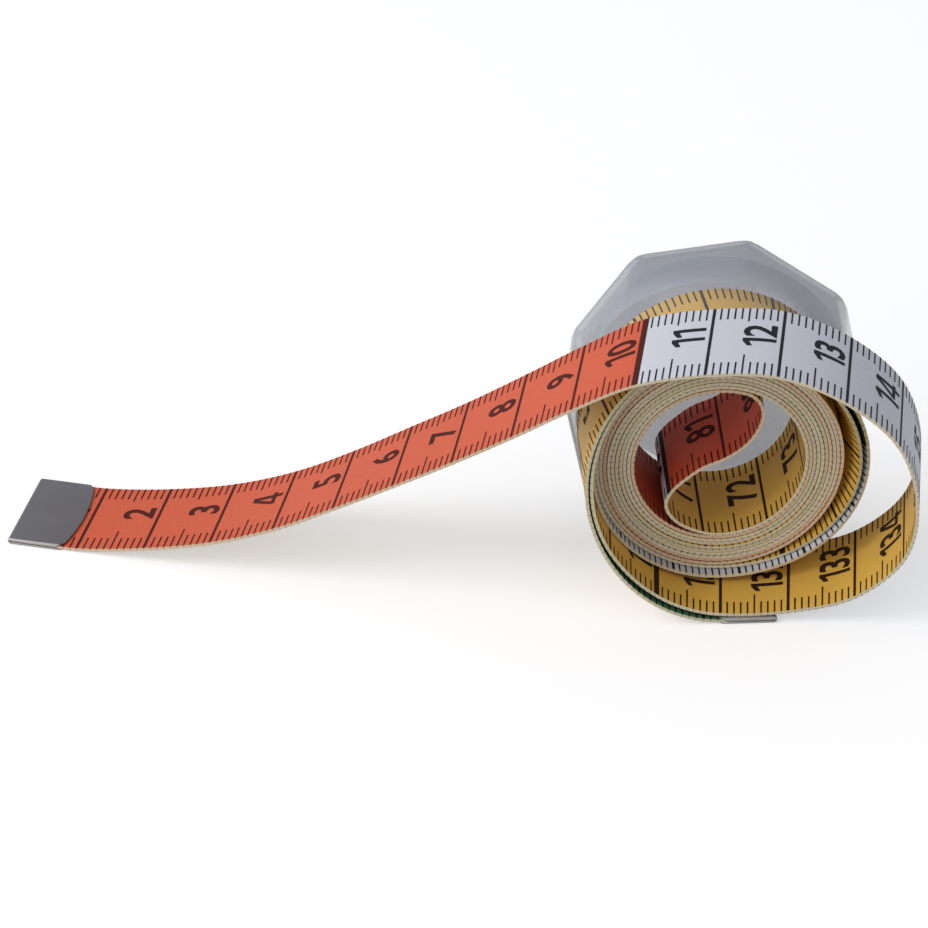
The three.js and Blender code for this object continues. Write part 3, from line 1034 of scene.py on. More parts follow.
@dataclass(frozen=True)
class DullMetalFinish:
    """Soft grey sheet metal, brushed lengthwise and a little tarnished."""

    name: str
    colour: Colour
    roughness: float = 0.3
    roughness_spread: float = 0.25
    metallic: float = 0.75
    streak_scale: tuple[float, float, float] = (4000.0, 250.0, 1200.0)
    streak_tone: float = 1.35
    streak_share: float = 0.5
    stain_scale: float = 350.0
    stain_tone: float = 0.62
    stain_share: float = 0.45
    relief_depth: float = 0.03
    relief_strength: float = 0.35

    def build(self) -> bpy.types.Material:
        """Makes the material: fine drawn streaks, faint stains and small dents.

        Returns:
            The material.
        """
        work = MaterialWork(self.name)
        place = work.add("ShaderNodeTexCoord").outputs["Object"]
        drawn = work.add("ShaderNodeMapping", Vector=place)
        drawn.inputs["Scale"].default_value = self.streak_scale
        streaks = work.noise(drawn.outputs["Vector"], 1.0)
        stains = work.noise(place, self.stain_scale, detail=4.0)
        colour: object = self.colour
        for pattern, share, lightness in (
            (streaks, self.streak_share, self.streak_tone),
            (stains, self.stain_share, self.stain_tone),
        ):
            colour = work.mix(work.math("MULTIPLY", pattern, share), colour, tone(self.colour, lightness))
        work.feed(work.shader.inputs["Base Color"], colour)
        work.shader.inputs["Metallic"].default_value = self.metallic
        roughness = work.math("MULTIPLY_ADD", streaks, self.roughness_spread, self.roughness)
        work.feed(work.shader.inputs["Roughness"], roughness)
        work.bump(work.math("ADD", streaks, stains), self.relief_depth, self.relief_strength)
        return work.material


@dataclass
class Finishes:
    """All the finishes of the object, made once."""

    front: bpy.types.Material = field(init=False)
    back: bpy.types.Material = field(init=False)
    edge: bpy.types.Material = field(init=False)
    inks: dict[Ground, bpy.types.Material] = field(default_factory=dict)
    worn_metal: bpy.types.Material = field(init=False)
    metal: bpy.types.Material = field(init=False)

    def __post_init__(self) -> None:
        """Makes the finishes of the tape, its print and its tips."""
        orange, white, green = srgb(206, 77, 32), srgb(205, 208, 218), srgb(48, 104, 72)
        self.front = WovenFinish("woven_colour_blocks", (orange, white, green)).build()
        self.back = WovenFinish("woven_yellow_back", (srgb(228, 181, 70),)).build()
        tints = (srgb(214, 150, 124), srgb(208, 203, 182), srgb(160, 168, 130))
        self.edge = CutEdgeFinish("cut_edge", srgb(224, 210, 178), tints, srgb(96, 74, 50)).build()
        for ground, ink in (
            (Ground.ORANGE, srgb(66, 18, 12)),
            (Ground.WHITE, srgb(24, 25, 34)),
            (Ground.GREEN, srgb(14, 26, 20)),
            (Ground.YELLOW, srgb(44, 24, 12)),
        ):
            self.inks[ground] = InkFinish(f"ink_on_{ground.name.lower()}", ink).build()
        # The lighter metal is painted sheen: a painted reflection of the pale floor on the tips' sides, and
        # painted light on the far tip's shaded faces.
        self.worn_metal = DullMetalFinish("tip_metal_painted_sheen", srgb(150, 148, 145)).build()
        self.metal = DullMetalFinish("tip_metal", srgb(102, 100, 105)).build()


@dataclass
class StripMesh:
    """A strip's mesh while it is made: its points, its faces, and each face's finish and scale marks."""

    verts: list[Vector] = field(default_factory=list)
    faces: list[list[int]] = field(default_factory=list)
    slots: list[int] = field(default_factory=list)
    marks: list[Outline] = field(default_factory=list)

    def put(self, corners: list[int], side: Side, marks: Outline) -> None:
        """Adds one face.

        Args:
            corners: the numbers of its points.
            side: the side of the tape that it lies on, which gives it its finish.
            marks: the reading and the place across or through the tape, at each corner.
        """
        self.faces.append(corners)
        self.slots.append(side.value)
        self.marks.append(marks)


@dataclass
class TapeStrip:
    """A stretch of tape as a thin closed band that follows the surface between two readings."""

    name: str
    start: float
    end: float
    node: str  # the CAD's piece that it stands for
    slot: str  # the name of the part's colour slot for this stretch
    rests_on: tuple[str, ...] = ()
    extra: tuple[tuple[float, float], ...] = ()  # further stretches, from and to, of the same piece
    least_step: float = 0.004  # centimetres from an end to the next station
    crease: float = 40.0  # degrees from which an edge stays sharp

    @property
    def length(self) -> float:
        """The length of all its stretches, in centimetres."""
        return self.end - self.start + sum(end - start for start, end in self.extra)

    def build(self, surface: TapeSurface, finishes: Finishes) -> bpy.types.Object:
        """Makes the band, with its scale in a UV map and its three finishes.

        Args:
            surface: the tape's surface.
            finishes: the object's finishes.

        Returns:
            The piece.
        """
        mesh = StripMesh()
        for start, end in ((self.start, self.end), *self.extra):
            self._stretch(mesh, surface, start, end)
        piece = add_mesh(self.name, mesh.verts, mesh.faces)
        for material in (finishes.front, finishes.back, finishes.edge):
            piece.data.materials.append(material)
        piece.data.polygons.foreach_set("material_index", mesh.slots)
        uv = piece.data.uv_layers.new(name="scale")
        uv.data.foreach_set("uv", [value for face in mesh.marks for mark in face for value in mark])
        choose(piece)
        bpy.ops.object.shade_smooth_by_angle(angle=math.radians(self.crease))
        return piece

    def _stretch(self, mesh: StripMesh, surface: TapeSurface, start: float, end: float) -> None:
        """Adds one unbroken stretch of tape to the mesh.

        Args:
            mesh: the strip's mesh.
            surface: the tape's surface.
            start, end: the readings at the stretch's ends.
        """
        inner = [r for r in surface.readings if start + self.least_step < r < end - self.least_step]
        readings = [start, *inner, end]
        columns = [share * surface.route.width for share in surface.route.shares]
        wide = len(columns)
        base = len(mesh.verts)
        for reading in readings:
            for face in Face:
                mesh.verts += [surface.point(reading, across, face, 0.0) for across in columns]

        def front(i: int, j: int) -> int:
            """The number of a front point, by station and column."""
            return base + 2 * wide * i + j

        def back(i: int, j: int) -> int:
            """The number of the point behind it, on the back."""
            return front(i, j) + wide

        right = wide - 1
        for i, (low, high) in enumerate(zip(readings, readings[1:])):
            for j, (near, far) in enumerate(zip(columns, columns[1:])):
                corners = [front(i, j), front(i + 1, j), front(i + 1, j + 1), front(i, j + 1)]
                mesh.put(corners, Side.FRONT, [(low, near), (high, near), (high, far), (low, far)])
                corners = [back(i, j), back(i, j + 1), back(i + 1, j + 1), back(i + 1, j)]
                mesh.put(corners, Side.BACK, [(low, near), (low, far), (high, far), (high, near)])
            corners = [back(i, 0), back(i + 1, 0), front(i + 1, 0), front(i, 0)]
            mesh.put(corners, Side.EDGE, [(low, 0.0), (high, 0.0), (high, 1.0), (low, 1.0)])
            corners = [front(i, right), front(i + 1, right), back(i + 1, right), back(i, right)]
            mesh.put(corners, Side.EDGE, [(low, 1.0), (high, 1.0), (high, 0.0), (low, 0.0)])
        inwards = range(right, 0, -1)
        first = [back(0, 0), *(front(0, j) for j in range(wide)), *(back(0, j) for j in inwards)]
        n = len(readings) - 1
        last = [front(n, 0), *(back(n, j) for j in range(wide)), *(front(n, j) for j in inwards)]
        for corners, reading in ((first, start), (last, end)):
            mesh.put(corners, Side.EDGE, [(reading, 0.5)] * len(corners))


@dataclass
class DigitShapes:
    """The outlines of the ten figures, cut across so that they can bend with the tape."""

    height: float = 4.7  # millimetres
    widening: float = 0.95  # how wide the built-in face's figures are made
    boldness: float = 0.022  # how much their outlines are thickened
    gap: float = 0.42  # millimetres between two figures
    pieces: int = 6  # how many pieces each figure is cut into, from foot to head
    curve_steps: int = 3
    weld: float = 0.0005
    shapes: dict[str, Shape] = field(default_factory=dict)

    def build(self) -> None:
        """Makes each figure once, from its strokes or from the plain built-in face."""
        for digit in "0123456789":
            self.shapes[digit] = self._drawn(digit) if digit in STROKES else self._shape(digit)

    def _drawn(self, digit: str) -> Shape:
        """Draws a figure of straight strokes.

        Args:
            digit: the figure.

        Returns:
            Its points in millimetres, its faces, and its width.
        """
        points: Outline = []
        faces: list[list[int]] = []
        for low_left, low_right, high_right, high_left in STROKES[digit]:
            first = len(points)
            for share in evenly(0, 1, self.pieces):
                for low, high in ((low_left, high_left), (low_right, high_right)):
                    x, y = (a + (b - a) * share for a, b in zip(low, high))
                    points.append((x * self.height, y * self.height))
            for i in range(self.pieces):
                corner = first + 2 * i
                faces.append([corner, corner + 1, corner + 3, corner + 2])
        return points, faces, max(p[0] for p in points)

    def _shape(self, digit: str) -> Shape:
        """Takes a figure from the plain built-in face.

        Args:
            digit: the figure.

        Returns:
            Its points in millimetres, its faces, and its width.
        """
        bpy.ops.object.select_all(action="DESELECT")
        bpy.ops.object.text_add(location=(0, 0, 0))
        text = bpy.context.object
        text.data.body = digit
        text.data.size = 1.0
        text.data.offset = self.boldness
        text.data.resolution_u = self.curve_steps
        text.data.fill_mode = "FRONT"
        bpy.ops.object.convert(target="MESH")
        bpy.ops.object.mode_set(mode="EDIT")
        bpy.ops.mesh.select_all(action="SELECT")
        bpy.ops.mesh.remove_doubles(threshold=self.weld)
        tall = [v.co.y for v in text.data.vertices]
        for level in evenly(min(tall), max(tall), self.pieces)[1:-1]:
            bpy.ops.mesh.select_all(action="SELECT")
            bpy.ops.mesh.bisect(plane_co=(0, level, 0), plane_no=(0, 1, 0))
        bpy.ops.object.mode_set(mode="OBJECT")
        points = [(v.co.x, v.co.y) for v in text.data.vertices]
        faces = [list(p.vertices) for p in text.data.polygons]
        upward = [p.normal.z > 0 for p in text.data.polygons]
        faces = [f if up else f[::-1] for f, up in zip(faces, upward)]
        left, low = min(p[0] for p in points), min(p[1] for p in points)
        unit = self.height / (max(p[1] for p in points) - low)
        placed = [((x - left) * unit * self.widening, (y - low) * unit) for x, y in points]
        bpy.data.objects.remove(text, do_unlink=True)
        return placed, faces, max(p[0] for p in placed)


@dataclass
class TapePrint:
    """Everything printed on a stretch of tape: ticks, centimetre lines and figures, on both faces.

    Readings are in centimetres of the face's own scale, and all else is in millimetres.
    """

    surface: TapeSurface
    name: str
    start: float
    end: float
    figures: bool = True
    lift: float = 0.025  # how far the print stands over the tape
    tick_width: float = 0.24
    line_width: float = 0.44
    ten_width: float = 0.9  # of the line at every tenth centimetre
    near_tick: float = 2.8  # the length of a tick on the near edge, and at every half centimetre
    near_five: float = 4.6
    far_tick: float = 2.7  # the same on the far edge
    far_five: float = 3.3
    figure_middle: float = 9.4  # from the near edge
    figure_gap: float = 0.8  # from a number to its line
    blank_end: float = 0.05  # nothing is printed this near to the tape's ends, in centimetres
    overlap: float = 0.03  # how far past a join a tick still belongs to this stretch, in centimetres
    block_edge: float = 0.01  # a line between two blocks takes the ink of the one before it
    verts: list[Vector] = field(default_factory=list)
    faces: list[list[int]] = field(default_factory=list)
    slots: list[int] = field(default_factory=list)

    def build(self, digits: DigitShapes, finishes: Finishes) -> bpy.types.Object:
        """Makes the print as thin faces just over the tape, one finish for each ground.

        Args:
            digits: the figures.
            finishes: the object's finishes.

        Returns:
            The piece.
        """
        for face in Face:
            self._ticks(face)
            if self.figures:
                self._numbers(face, digits)
        piece = add_mesh(self.name, self.verts, self.faces)
        for ground in Ground:
            piece.data.materials.append(finishes.inks[ground])
        piece.data.polygons.foreach_set("material_index", self.slots)
        return piece

    def _span(self, face: Face) -> tuple[float, float]:
        """The readings of this stretch on one face; the back's scale runs the other way.

        Args:
            face: the face.

        Returns:
            The lowest and the highest reading.
        """
        if face is Face.BACK:
            return TAPE_READING - self.end, TAPE_READING - self.start
        return self.start, self.end

    def _ground(self, own: float, face: Face) -> Ground:
        """The ground under a reading; the back is yellow all over.

        Args:
            own: the reading.
            face: the face.

        Returns:
            The ground.
        """
        if face is Face.BACK:
            return Ground.YELLOW
        blocks = (Ground.ORANGE, Ground.WHITE, Ground.GREEN, Ground.WHITE)
        return blocks[int(own // BLOCK) % len(blocks)]

    def _place(self, own: float, across: float, face: Face) -> Vector:
        """A printed point, by its reading and its distance from the near edge."""
        tape = own if face is Face.FRONT else TAPE_READING - own
        return self.surface.point(tape, across, face, self.lift)

    def _patch(self, own: Sequence[float], across: Sequence[float], face: Face, ground: Ground) -> None:
        """Adds a small grid of print.

        Args:
            own: readings of this face at the grid's columns.
            across: distances from the near edge at the grid's rows.
            face: the face that it is printed on.
            ground: what it lies on.
        """
        base = len(self.verts)
        self.verts += [self._place(reading, place, face) for reading in own for place in across]
        rows = len(across)
        for i in range(len(own) - 1):
            for j in range(rows - 1):
                corner = base + i * rows + j
                self.faces.append([corner, corner + rows, corner + rows + 1, corner + 1])
                self.slots.append(ground.value)

    def _ticks(self, face: Face) -> None:
        """Prints the millimetre ticks and the centimetre lines of one face.

        Args:
            face: the face.
        """
        low, high = self._span(face)
        width = self.surface.route.width
        split = self.surface.route.shares[1] * width
        for count in range(math.ceil(low * MM_A_CM), math.floor(high * MM_A_CM) + 1):
            own = count / MM_A_CM
            if not self.blank_end < own < TAPE_READING - self.blank_end:
                continue
            if not low + self.overlap < own <= high + self.overlap:
                continue
            if count % MM_A_CM == 0:
                line = self.ten_width if count % (BLOCK * MM_A_CM) == 0 else self.line_width
                half = line / (2 * MM_A_CM)
                ground = self._ground(own - self.block_edge, face)
                self._patch([own - half, own, own + half], [0.0, split, width], face, ground)
                continue
            five = count % 5 == 0
            near, far = (self.near_five, self.far_five) if five else (self.near_tick, self.far_tick)
            half = self.tick_width / (2 * MM_A_CM)
            for across in ([0.0, near], [width - far, width]):
                self._patch([own - half, own + half], across, face, self._ground(own, face))

    def _numbers(self, face: Face, digits: DigitShapes) -> None:
        """Prints the numbers of one face, each just before its line and read from the near edge.

        Args:
            face: the face.
            digits: the figures.
        """
        low, high = self._span(face)
        for number in range(max(1, math.ceil(low)), math.floor(high) + 1):
            foot = number - self.figure_gap / MM_A_CM
            if foot - digits.height / MM_A_CM < low - self.block_edge or number >= TAPE_READING:
                continue
            shapes = [digits.shapes[character] for character in str(number)]
            length = sum(shape[2] for shape in shapes) + digits.gap * (len(shapes) - 1)
            at = self.figure_middle - length / 2
            for shape in shapes:
                self._figure(shape, foot, at, face)
                at += shape[2] + digits.gap

    def _figure(self, shape: Shape, foot: float, at: float, face: Face) -> None:
        """Prints one figure.

        Args:
            shape: the figure.
            foot: the reading at its foot.
            at: its left side's distance from the near edge.
            face: the face.
        """
        points, faces, _ = shape
        base = len(self.verts)
        self.verts += [self._place(foot - y / MM_A_CM, at + x, face) for x, y in points]
        self.faces += [[base + index for index in corners] for corners in faces]
        self.slots += [self._ground(foot, face).value] * len(faces)


@dataclass
class FrostedCase:
    """The eight-sided cup with a round bore that the wound tape is kept in.

    The sizes are in millimetres and degrees.
    """

    depth: float = 19.2
    wall: float = 0.85
    floor: float = 1.2
    corner_radius: float = 4.5
    bore_radius: float = 19.4414
    fillet: float = 2.4  # between the bore and its floor
    gate_radius: float = 2.5
    yaw: float = 4.0
    roll: float = -11.0
    sides: int = 8
    rim: float = 0.22  # the rounding of the mouth and of the closed end's outline
    bore_steps: int = 96
    fillet_steps: int = 6
    corner_steps: int = 7
    rim_steps: int = 3
    crease: float = 32.0
    ring_margin: float = 0.02  # how far a point may be from a ring that it counts to
    facing_up: float = 0.9  # how far a face's normal has to point up to be the mouth's
    # The moulding gate's round pad: each ring's height over the floor, and what it adds to the radius
    gate_rings: tuple[tuple[float, float], ...] = (
        (0.0, 0.35),
        (0.1, 0.08),
        (0.32, 0.0),
        (0.4, -0.2),
        (0.28, -0.9),
        (0.24, -2.1),
    )

    def build(self, mouth: Vector) -> bpy.types.Object:
        """Models the cup on its own axis, mouth up, then lays it down in its place.

        Args:
            mouth: the middle of the mouth, in millimetres.

        Returns:
            The piece.
        """
        bpy.ops.object.select_all(action="DESELECT")
        inradius = self.bore_radius + self.wall
        reach = inradius / math.cos(math.pi / self.sides)
        bpy.ops.mesh.primitive_cylinder_add(
            vertices=self.sides,
            radius=reach * MM,
            depth=self.depth * MM,
            end_fill_type="NGON",
            location=(0, 0, -self.depth * MM / 2),
        )
        case = bpy.context.object
        case.name = "frosted_case"
        bpy.ops.object.transform_apply(location=True, rotation=True, scale=True)
        self._round_corners(case)
        self._open_mouth(case)
        self._sink_bore(case)
        self._finish_edges(case)
        self._dress(case, mouth)
        self._lay_down(case, mouth)
        choose(case)
        bpy.ops.object.shade_smooth_by_angle(angle=math.radians(self.crease))
        return case

    def _edit(self, case: bpy.types.Object) -> None:
        """Opens the case in edit mode with nothing selected.

        Args:
            case: the piece.
        """
        choose(case)
        bpy.ops.object.mode_set(mode="EDIT")
        bpy.ops.mesh.select_all(action="DESELECT")
        bpy.ops.object.mode_set(mode="OBJECT")

    def _round_corners(self, case: bpy.types.Object) -> None:
        """Rounds the eight long corners.

        Args:
            case: the piece.
        """
        self._edit(case)
        verts = case.data.vertices
        for edge in case.data.edges:
            low, high = (verts[i].co for i in edge.vertices)
            edge.select = abs(low.z - high.z) > self.depth * MM / 2
        bpy.ops.object.mode_set(mode="EDIT")
        bpy.ops.mesh.select_mode(type="EDGE")
        offset = self.corner_radius * math.tan(math.pi / self.sides) * MM
        bpy.ops.mesh.bevel(offset=offset, offset_type="OFFSET", segments=self.corner_steps, profile=0.5)
        bpy.ops.object.mode_set(mode="OBJECT")

    def _open_mouth(self, case: bpy.types.Object) -> None:
        """Takes the mouth's face away and joins the outline to the round bore.

        Args:
            case: the piece.
        """
        self._edit(case)
        for face in case.data.polygons:
            face.select = face.normal.z > self.facing_up
        bpy.ops.object.mode_set(mode="EDIT")
        bpy.ops.mesh.select_mode(type="FACE")
        bpy.ops.mesh.delete(type="ONLY_FACE")
        bpy.ops.mesh.select_mode(type="VERT")
        bpy.ops.mesh.select_all(action="DESELECT")
        bpy.ops.mesh.primitive_circle_add(
            vertices=self.bore_steps,
            radius=self.bore_radius * MM,
            fill_type="NOTHING",
            location=(0, 0, 0),
        )
        bpy.ops.object.mode_set(mode="OBJECT")
        for vertex in case.data.vertices:
            vertex.select = abs(vertex.co.z) < NEAR
        for edge in case.data.edges:
            edge.select = all(abs(case.data.vertices[i].co.z) < NEAR for i in edge.vertices)
        bpy.ops.object.mode_set(mode="EDIT")
        bpy.ops.mesh.select_mode(type="EDGE")
        bpy.ops.mesh.bridge_edge_loops()
        bpy.ops.object.mode_set(mode="OBJECT")

    def _select_ring(self, case: bpy.types.Object, height: float, radius: float) -> None:
        """Selects the bore's ring of edges at a height and radius, in millimetres.

        Args:
            case: the piece.
            height, radius: where the ring is.
        """
        self._edit(case)
        verts = case.data.vertices
        near = self.ring_margin * MM

        def on(index: int) -> bool:
            """Tells whether a point is on the ring."""
            co = verts[index].co
            return abs(co.z - height * MM) < near and abs(math.hypot(co.x, co.y) - radius * MM) < near

        for edge in case.data.edges:
            edge.select = on(edge.vertices[0]) and on(edge.vertices[1])
        bpy.ops.object.mode_set(mode="EDIT")
        bpy.ops.mesh.select_mode(type="EDGE")

    def _sink(self, case: bpy.types.Object, start: tuple[float, float], end: tuple[float, float]) -> None:
        """Extrudes a ring of the bore from one height and radius to the next.

        Args:
            case: the piece.
            start, end: the height and radius of both rings, in millimetres.
        """
        self._select_ring(case, *start)
        (low, narrow), (high, wide) = start, end
        bpy.ops.mesh.extrude_edges_move(TRANSFORM_OT_translate={"value": (0, 0, (high - low) * MM)})
        if wide != narrow:
            scale = wide / narrow
            bpy.ops.transform.resize(value=(scale, scale, 1), center_override=(0, 0, high * MM))
        bpy.ops.object.mode_set(mode="OBJECT")

    def _sink_bore(self, case: bpy.types.Object) -> None:
        """Sinks the bore to its floor, with the fillet and the moulding gate's round pad.

        Args:
            case: the piece.
        """
        floor = self.floor - self.depth
        profile = [(0.0, self.bore_radius), (floor + self.fillet, self.bore_radius)]
        for angle in evenly(0, math.pi / 2, self.fillet_steps)[1:]:
            height = floor + self.fillet * (1 - math.sin(angle))
            profile.append((height, self.bore_radius - self.fillet * (1 - math.cos(angle))))
        profile += [(floor + height, self.gate_radius + wider) for height, wider in self.gate_rings]
        for start, end in zip(profile, profile[1:]):
            self._sink(case, start, end)
        self._select_ring(case, *profile[-1])
        bpy.ops.mesh.edge_face_add()
        bpy.ops.mesh.select_all(action="SELECT")
        bpy.ops.mesh.remove_doubles(threshold=WELD)
        bpy.ops.mesh.normals_make_consistent(inside=False)
        bpy.ops.object.mode_set(mode="OBJECT")

    def _finish_edges(self, case: bpy.types.Object) -> None:
        """Softens the mouth's rim and the outline of the closed end.

        Args:
            case: the piece.
        """
        self._edit(case)
        verts = case.data.vertices
        bore = self.bore_radius * MM
        for edge in case.data.edges:
            low, high = (verts[i].co for i in edge.vertices)
            flat = abs(low.z - high.z) < WELD
            at_end = abs(low.z + self.depth * MM) < NEAR
            at_mouth = abs(low.z) < NEAR
            radii = [math.hypot(p.x, p.y) for p in (low, high)]
            outer = min(radii) > bore + self.wall / 2 * MM
            inner = max(radii) < bore + self.ring_margin / 2 * MM
            edge.select = flat and (at_end or (at_mouth and (outer or inner)))
        bpy.ops.object.mode_set(mode="EDIT")
        bpy.ops.mesh.select_mode(type="EDGE")
        bpy.ops.mesh.bevel(offset=self.rim * MM, offset_type="OFFSET", segments=self.rim_steps, profile=0.5)
        bpy.ops.object.mode_set(mode="OBJECT")

    def _dress(self, case: bpy.types.Object, mouth: Vector) -> None:
        """Gives the sides, the bore with its floor, and the closed end their own milky finish; the bore and
        the closed end are lighter than the sides, painted light against the shade inside the case.

        Args:
            case: the piece.
            mouth: the middle of the mouth.
        """
        yaw = math.radians(self.yaw)
        inward = Vector((math.sin(yaw), math.cos(yaw), 0))
        case.data.materials.clear()
        # The bore's and the closed end's lighter colours are painted light that evens out the shade inside
        # the case.
        for name, colour, covers, depths in (
            ("milky_sides", srgb(110, 116, 127), (0.1, 0.52), (5.5, 12.5)),
            ("milky_bore", srgb(202, 208, 220), (0.04, 0.32), (8.7, 9.5)),
            ("milky_end", srgb(176, 181, 192), (0.66, 0.66), (8.7, 9.5)),
        ):
            finish = MilkyFinish(name, colour, mouth, inward, *covers, *depths)
            case.data.materials.append(finish.build())
        for face in case.data.polygons:
            centre = face.center / MM
            in_bore = math.hypot(centre.x, centre.y) < self.bore_radius + self.rim / 2
            at_end = centre.z < self.rim / 2 - self.depth
            face.material_index = 2 if at_end else int(in_bore)

    def _lay_down(self, case: bpy.types.Object, mouth: Vector) -> None:
        """Turns the cup to its roll and yaw and moves its mouth to its place.

        Args:
            case: the piece.
            mouth: the middle of the mouth.
        """
        roll = math.radians(self.roll)
        yaw = math.radians(self.yaw)
        sideways = Vector((math.cos(yaw), -math.sin(yaw), 0))
        forward = Vector((-math.sin(yaw), -math.cos(yaw), 0))
        basis = Matrix((sideways, Vector((0, 0, 1)), forward)).transposed().to_4x4()
        turn = Matrix.Rotation(roll, 4, "Z")
        case.matrix_world = Matrix.Translation(mouth * MM) @ basis @ turn
        choose(case)
        bpy.ops.object.transform_apply(location=True, rotation=True, scale=True)


@dataclass
class FoldedTip:
    """A leaf of soft metal folded over the tape's end.

    The sizes are in millimetres and degrees.
    """

    name: str
    replaces: str
    body: str
    length: float = 8.2
    bow: float = 1.0  # how far its inner edges bow out in the middle
    thickness: float = 1.0
    sheet: float = 0.22
    fold: float = 0.4  # the longest reach of the bend round the tape's end
    side_room: float = 0.15  # how far it stands out over the tape's edges
    seat: float = 0.15  # from the tape's end to the inside of the bend
    pinch: float = 0.3  # what is left of the gap at the sides
    corner: float = 1.1
    corner_shares: tuple[float, ...] = (0.35, 0.65)
    steps_across: int = 14
    fold_steps: int = 8
    softness: float = 0.06
    crease: float = 40.0
    sight: float = 0.3  # centimetres of tape that give the direction in which it ends
    worn: bool = False  # whether its faces too take its sides' lighter metal, painted sheen

    def build(self, surface: TapeSurface, reading: float, finishes: Finishes) -> bpy.types.Object:
        """Models the folded leaf flat, then sets it on the tape's end.

        Args:
            surface: the tape's surface.
            reading: the reading at the tape's end, 0 or 150.
            finishes: the object's finishes.

        Returns:
            The piece.
        """
        side = surface.route.width / 2 + self.side_room
        bpy.ops.object.select_all(action="DESELECT")
        bpy.ops.mesh.primitive_plane_add(size=1, location=(0, 0, 0))
        tip = bpy.context.object
        tip.name = self.name
        self._profile(tip)
        self._spread(tip, side)
        self._bow(tip, side)
        self._thicken(tip)
        tip.data.materials.clear()
        tip.data.materials.append(finishes.worn_metal if self.worn else finishes.metal)
        tip.data.materials.append(finishes.worn_metal)
        # The sides take the lighter metal, a painted reflection of the floor.
        for face in tip.data.polygons:
            face.material_index = int(abs(face.center.y) > (side - self.side_room) * MM)
        self._seat(tip, surface, reading)
        choose(tip)
        bpy.ops.object.shade_smooth_by_angle(angle=math.radians(self.crease))
        return tip

    def _profile(self, tip: bpy.types.Object) -> None:
        """Draws the folded leaf's section: a long U, open towards the tape.

        Args:
            tip: the piece, whose mesh is replaced.
        """
        bpy.ops.object.mode_set(mode="EDIT")
        bpy.ops.mesh.select_all(action="SELECT")
        bpy.ops.mesh.delete(type="VERT")
        bpy.ops.object.mode_set(mode="OBJECT")
        gap = (self.thickness - self.sheet) / 2
        turn = min(gap, self.fold)
        points = [(-self.length, gap), (-self.length / 2, gap)]
        for angle in evenly(math.pi / 2, -math.pi / 2, self.fold_steps):
            points.append((-turn + turn * math.cos(angle), gap * math.sin(angle)))
        points += [(-self.length / 2, -gap), (-self.length, -gap)]
        edges = [(i, i + 1) for i in range(len(points) - 1)]
        tip.data.from_pydata([(x * MM, 0, z * MM) for x, z in points], edges, [])
        tip.data.update()

    def _spread(self, tip: bpy.types.Object, side: float) -> None:
        """Draws the section out from side to side, in rows that are close together near the corners.

        Args:
            tip: the piece.
            side: from its middle to its side, in millimetres.
        """
        inner = side - self.corner
        half = [side, side - self.side_room, *(side - self.corner * share for share in self.corner_shares)]
        rows = [*(-y for y in half), *evenly(-inner, inner, self.steps_across), *reversed(half)]
        bpy.ops.object.mode_set(mode="EDIT")
        bpy.ops.mesh.select_all(action="SELECT")
        bpy.ops.transform.translate(value=(0, -side * MM, 0))
        for near, far in zip(rows, rows[1:]):
            bpy.ops.mesh.extrude_edges_move(TRANSFORM_OT_translate={"value": (0, (far - near) * MM, 0)})
        bpy.ops.mesh.select_all(action="SELECT")
        bpy.ops.mesh.remove_doubles(threshold=WELD)
        bpy.ops.mesh.normals_make_consistent(inside=False)
        bpy.ops.object.mode_set(mode="OBJECT")

    def _thicken(self, tip: bpy.types.Object) -> None:
        """Gives the leaf its sheet's thickness and soft edges.

        Args:
            tip: the piece.
        """
        solid = tip.modifiers.new("sheet", "SOLIDIFY")
        solid.thickness = self.sheet * MM
        solid.offset = 0.0
        soft = tip.modifiers.new("soft", "BEVEL")
        soft.width = self.softness * MM
        soft.segments = 2
        soft.limit_method = "ANGLE"
        soft.angle_limit = math.radians(self.crease)
        choose(tip)
        bpy.ops.object.modifier_apply(modifier="sheet")
        bpy.ops.object.modifier_apply(modifier="soft")

    def _bow(self, tip: bpy.types.Object, side: float) -> None:
        """Bows the leaf's inner edges out over the tape, most in the middle, and pinches its sides shut.

        Args:
            tip: the piece.
            side: from its middle to its side, in millimetres.
        """
        for vertex in tip.data.vertices:
            if abs(vertex.co.y) > (side - self.side_room / 2) * MM:
                vertex.co.z *= self.pinch
            share = max(0.0, -vertex.co.x / (self.length * MM) - 0.5) * 2
            vertex.co.x -= self.bow * MM * share * (1 - (vertex.co.y / (side * MM)) ** 2)
            over = max(0.0, abs(vertex.co.y) / MM - side + self.corner)
            vertex.co.x += (self.corner - math.sqrt(max(0.0, self.corner**2 - over**2))) * MM * share

    def _seat(self, tip: bpy.types.Object, surface: TapeSurface, reading: float) -> None:
        """Sets the leaf on the tape's end, its own X pointing out of it.

        Args:
            tip: the piece.
            surface: the tape's surface.
            reading: the reading at the tape's end.
        """
        inner = -surface.thickness / 2
        near = surface.point(reading, 0.0, Face.FRONT, inner)
        far = surface.point(reading, surface.route.width, Face.FRONT, inner)
        inside = surface.point(abs(reading - self.sight), 0.0, Face.FRONT, inner)
        across = (far - near).normalized()
        outward = near - inside
        outward = (outward - across * outward.dot(across)).normalized()
        normal = outward.cross(across)
        place = (near + far) / 2 + outward * ((self.fold + self.seat) * MM)
        basis = Matrix((outward, across, normal)).transposed().to_4x4()
        tip.matrix_world = Matrix.Translation(place) @ basis
        choose(tip)
        bpy.ops.object.transform_apply(location=True, rotation=True, scale=True)


